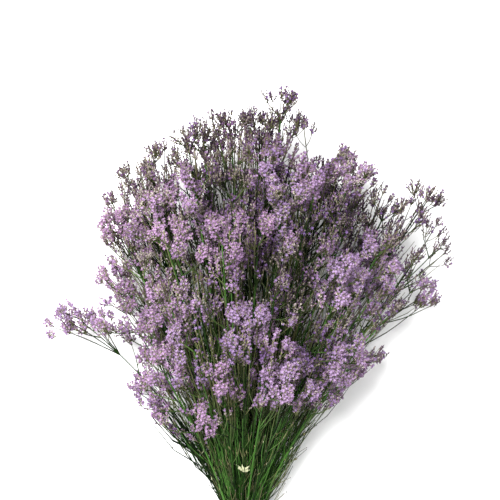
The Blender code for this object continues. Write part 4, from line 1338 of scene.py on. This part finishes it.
bare_number, bare_spray = next(
    (number, spray) for number, spray in enumerate(sprays) if not spray["reach"]
)
bare_rng = np.random.default_rng((SEED, bare_number, 1))
bare_line, bare_growth = bare_spray["line"], Growth()
bare_stem = smooth_way(bare_line[None], STEM_STEPS)
bare_shades = (STEM_FOOT, STEM_TOP)
add_stalks(bare_growth, bare_stem, BARE_WIDTHS, STEM_SIDES, [BARE_TONE], bare_shades, cut=True)
add_twigs(bare_growth, bare_spray, BARE_TONE)
add_fine_twigs(bare_growth, bare_line, bare_rng, BARE_FORKS, BARE_JOINTS)
add_joint_scales(bare_growth, bare_line, bare_rng)
bare_wood = noisy_finish("bare_green_wood", WOOD_NOISE, WOOD_COLOURS, WOOD_ROUGHNESS)[0]
bare_piece = bare_growth.piece("bare_stem", bare_wood)
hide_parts("bare_twig")
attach(bare_piece, "root")

# ----------------------------------------
# The tie: jute twine of two plies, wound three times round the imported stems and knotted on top. It
# is pressed flat where it lies on the table.
TWINE_TURNS = 3
TWINE_OVERLAP = 0.15
TWINE_CENTRE = STEM_RADIUS + TWINE_CLEARANCE + TWINE_THICKNESS / 2
WOUND_STEPS = 2000
TWINE_RINGS = 420
TWINE_SIDES = 12
TWINE_ROW, TWINE_ROWS = 0.02, 0.96
PLY_DEPTH = 0.20
PLY_SWELL = 1.04
PLY_LAY = 0.0075
FIBRE_TONE, FIBRE_TONE_VARIES = 0.5, 0.45
FIBRE_NOISE = {"Scale": 900.0, "Detail": 4.0}
FIBRE_BUMP = {"Strength": 0.5, "Distance": 0.0003}
FIBRE_ROUGHNESS = 0.9
FIBRE_COLOURS = (
    (0.30, (0.170, 0.110, 0.055)),
    (0.50, (0.310, 0.220, 0.120)),
    (0.72, (0.450, 0.350, 0.215)),
)

# The knot is a three-lobed loop, and each end of the twine goes out from it through four places
KNOT_SIZE, KNOT_LOBES, KNOT_SQUEEZE, KNOT_RISE = 0.0021, 1.9, 0.8, 0.0011
KNOT_FROM, KNOT_TO, KNOT_RINGS = -0.08, 1.08, 90
TAIL = ((0.0005, 0.002, -0.0004), (0.004, 0.005, 0.0004))
TAIL += ((0.009, 0.012, -0.0008), (0.011, 0.021, -0.0002))
TAIL_STEPS = 12


def wound_way():
    """The middle of the wound twine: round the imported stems, a thickness along at each turn.

    At a turn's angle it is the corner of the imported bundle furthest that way, plus the stem's and
    the twine's radius in that direction. It is then cut into rings an even distance apart.
    """
    corners = []
    middle_row = max(range(len(LAYERS)), key=lambda layer: len(LAYERS[layer]))
    for layer in (0, middle_row, len(LAYERS) - 1):
        half = (len(LAYERS[layer]) - 1) / 2 * STEM_PITCH
        height = LOWEST_STEM + layer * ROW_PITCH
        corners += [(-half, height), (half, height)]
    corners = np.array(corners)
    angles = math.pi / 2 + np.linspace(0, TWINE_TURNS * WHOLE_TURN, WOUND_STEPS)
    outward = np.stack([np.cos(angles), np.sin(angles)], axis=-1)
    held = corners[np.argmax(outward @ corners.T, axis=1)] + outward * TWINE_CENTRE
    far = lengths_so_far(held)
    even = np.linspace(0, far[-1], TWINE_RINGS)
    along = (even / far[-1] - 0.5) * (TWINE_TURNS - TWINE_OVERLAP) * TWINE_THICKNESS
    return np.stack([np.interp(even, far, held[:, 0]), along, np.interp(even, far, held[:, 1])], -1)


def lengths_so_far(way):
    """How far along a path each of its points is."""
    return np.concatenate([[0], np.cumsum(np.linalg.norm(np.diff(way, axis=0), axis=1))])


def add_twine(growth, way):
    """Two-ply twine on a path: the radius at angle a is r (1 - depth + depth |cos(a - turn)|).

    The turn grows evenly along the path, by half a round in each lay, so the groove between the
    two plies winds round it.
    """
    far = lengths_so_far(way)
    headings = unit(np.gradient(way, axis=0))
    first, second = (side[0] for side in across_frames(headings[None]))
    turns = np.arange(TWINE_SIDES) * WHOLE_TURN / TWINE_SIDES
    lay = (far / PLY_LAY * math.pi)[:, None]
    ply = PLY_SWELL - PLY_DEPTH + PLY_DEPTH * np.abs(np.cos(turns[None] - lay))
    radius = TWINE_THICKNESS / 2 * ply
    cosines, sines = np.cos(turns)[None, :, None], np.sin(turns)[None, :, None]
    outward = first[:, None] * cosines + second[:, None] * sines
    skin = (way[:, None] + outward * radius[..., None]).reshape(-1, 3)
    places = np.concatenate([skin, way[:1], way[-1:]])[None]
    chart = np.empty((1, len(places[0]), 2))
    tones = FIBRE_TONE + FIBRE_TONE_VARIES * np.cos(turns + GRAIN_TURN)
    chart[0, :-2, 0] = np.tile(tones, len(way))
    chart[0, :-2, 1] = np.repeat(TWINE_ROW + TWINE_ROWS * far / far[-1], TWINE_SIDES)
    chart[0, -2:] = ((FIBRE_TONE, 0.0), (FIBRE_TONE, 1.0))
    growth.add(places, tube_faces(len(way), TWINE_SIDES), chart, True)


def jute_finish():
    """Straw-coloured fibre: fine streaks from noise, with a fine bump."""
    material, shader, noise = noisy_finish("jute", FIBRE_NOISE, FIBRE_COLOURS, FIBRE_ROUGHNESS)
    bump = add_node(material, "Bump", {"Height": noise}, FIBRE_BUMP)
    material.node_tree.links.new(bump.outputs["Normal"], shader.inputs["Normal"])
    return material


twine_growth = Growth()
add_twine(twine_growth, wound_way())
knot_top = LOWEST_STEM + (len(LAYERS) - 1) * ROW_PITCH + TWINE_CENTRE + TWINE_THICKNESS
knot_turn = np.linspace(KNOT_FROM, KNOT_TO, KNOT_RINGS) * WHOLE_TURN
knot_loop = np.stack(
    [
        KNOT_SIZE * (np.sin(knot_turn) + KNOT_LOBES * np.sin(2 * knot_turn)) * KNOT_SQUEEZE,
        KNOT_SIZE * (np.cos(knot_turn) - KNOT_LOBES * np.cos(2 * knot_turn)) * KNOT_SQUEEZE,
        knot_top - KNOT_RISE * np.sin(3 * knot_turn),
    ],
    axis=-1,
)
add_twine(twine_growth, knot_loop)
for side in (-1, 1):
    tail = np.array(TAIL) * (side, 1, 1) + (0, 0, knot_top)
    add_twine(twine_growth, smooth_way(tail[None], TAIL_STEPS)[0])
twine_piece = twine_growth.piece("jute_tie", jute_finish())
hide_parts("tie")
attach(twine_piece, "root")
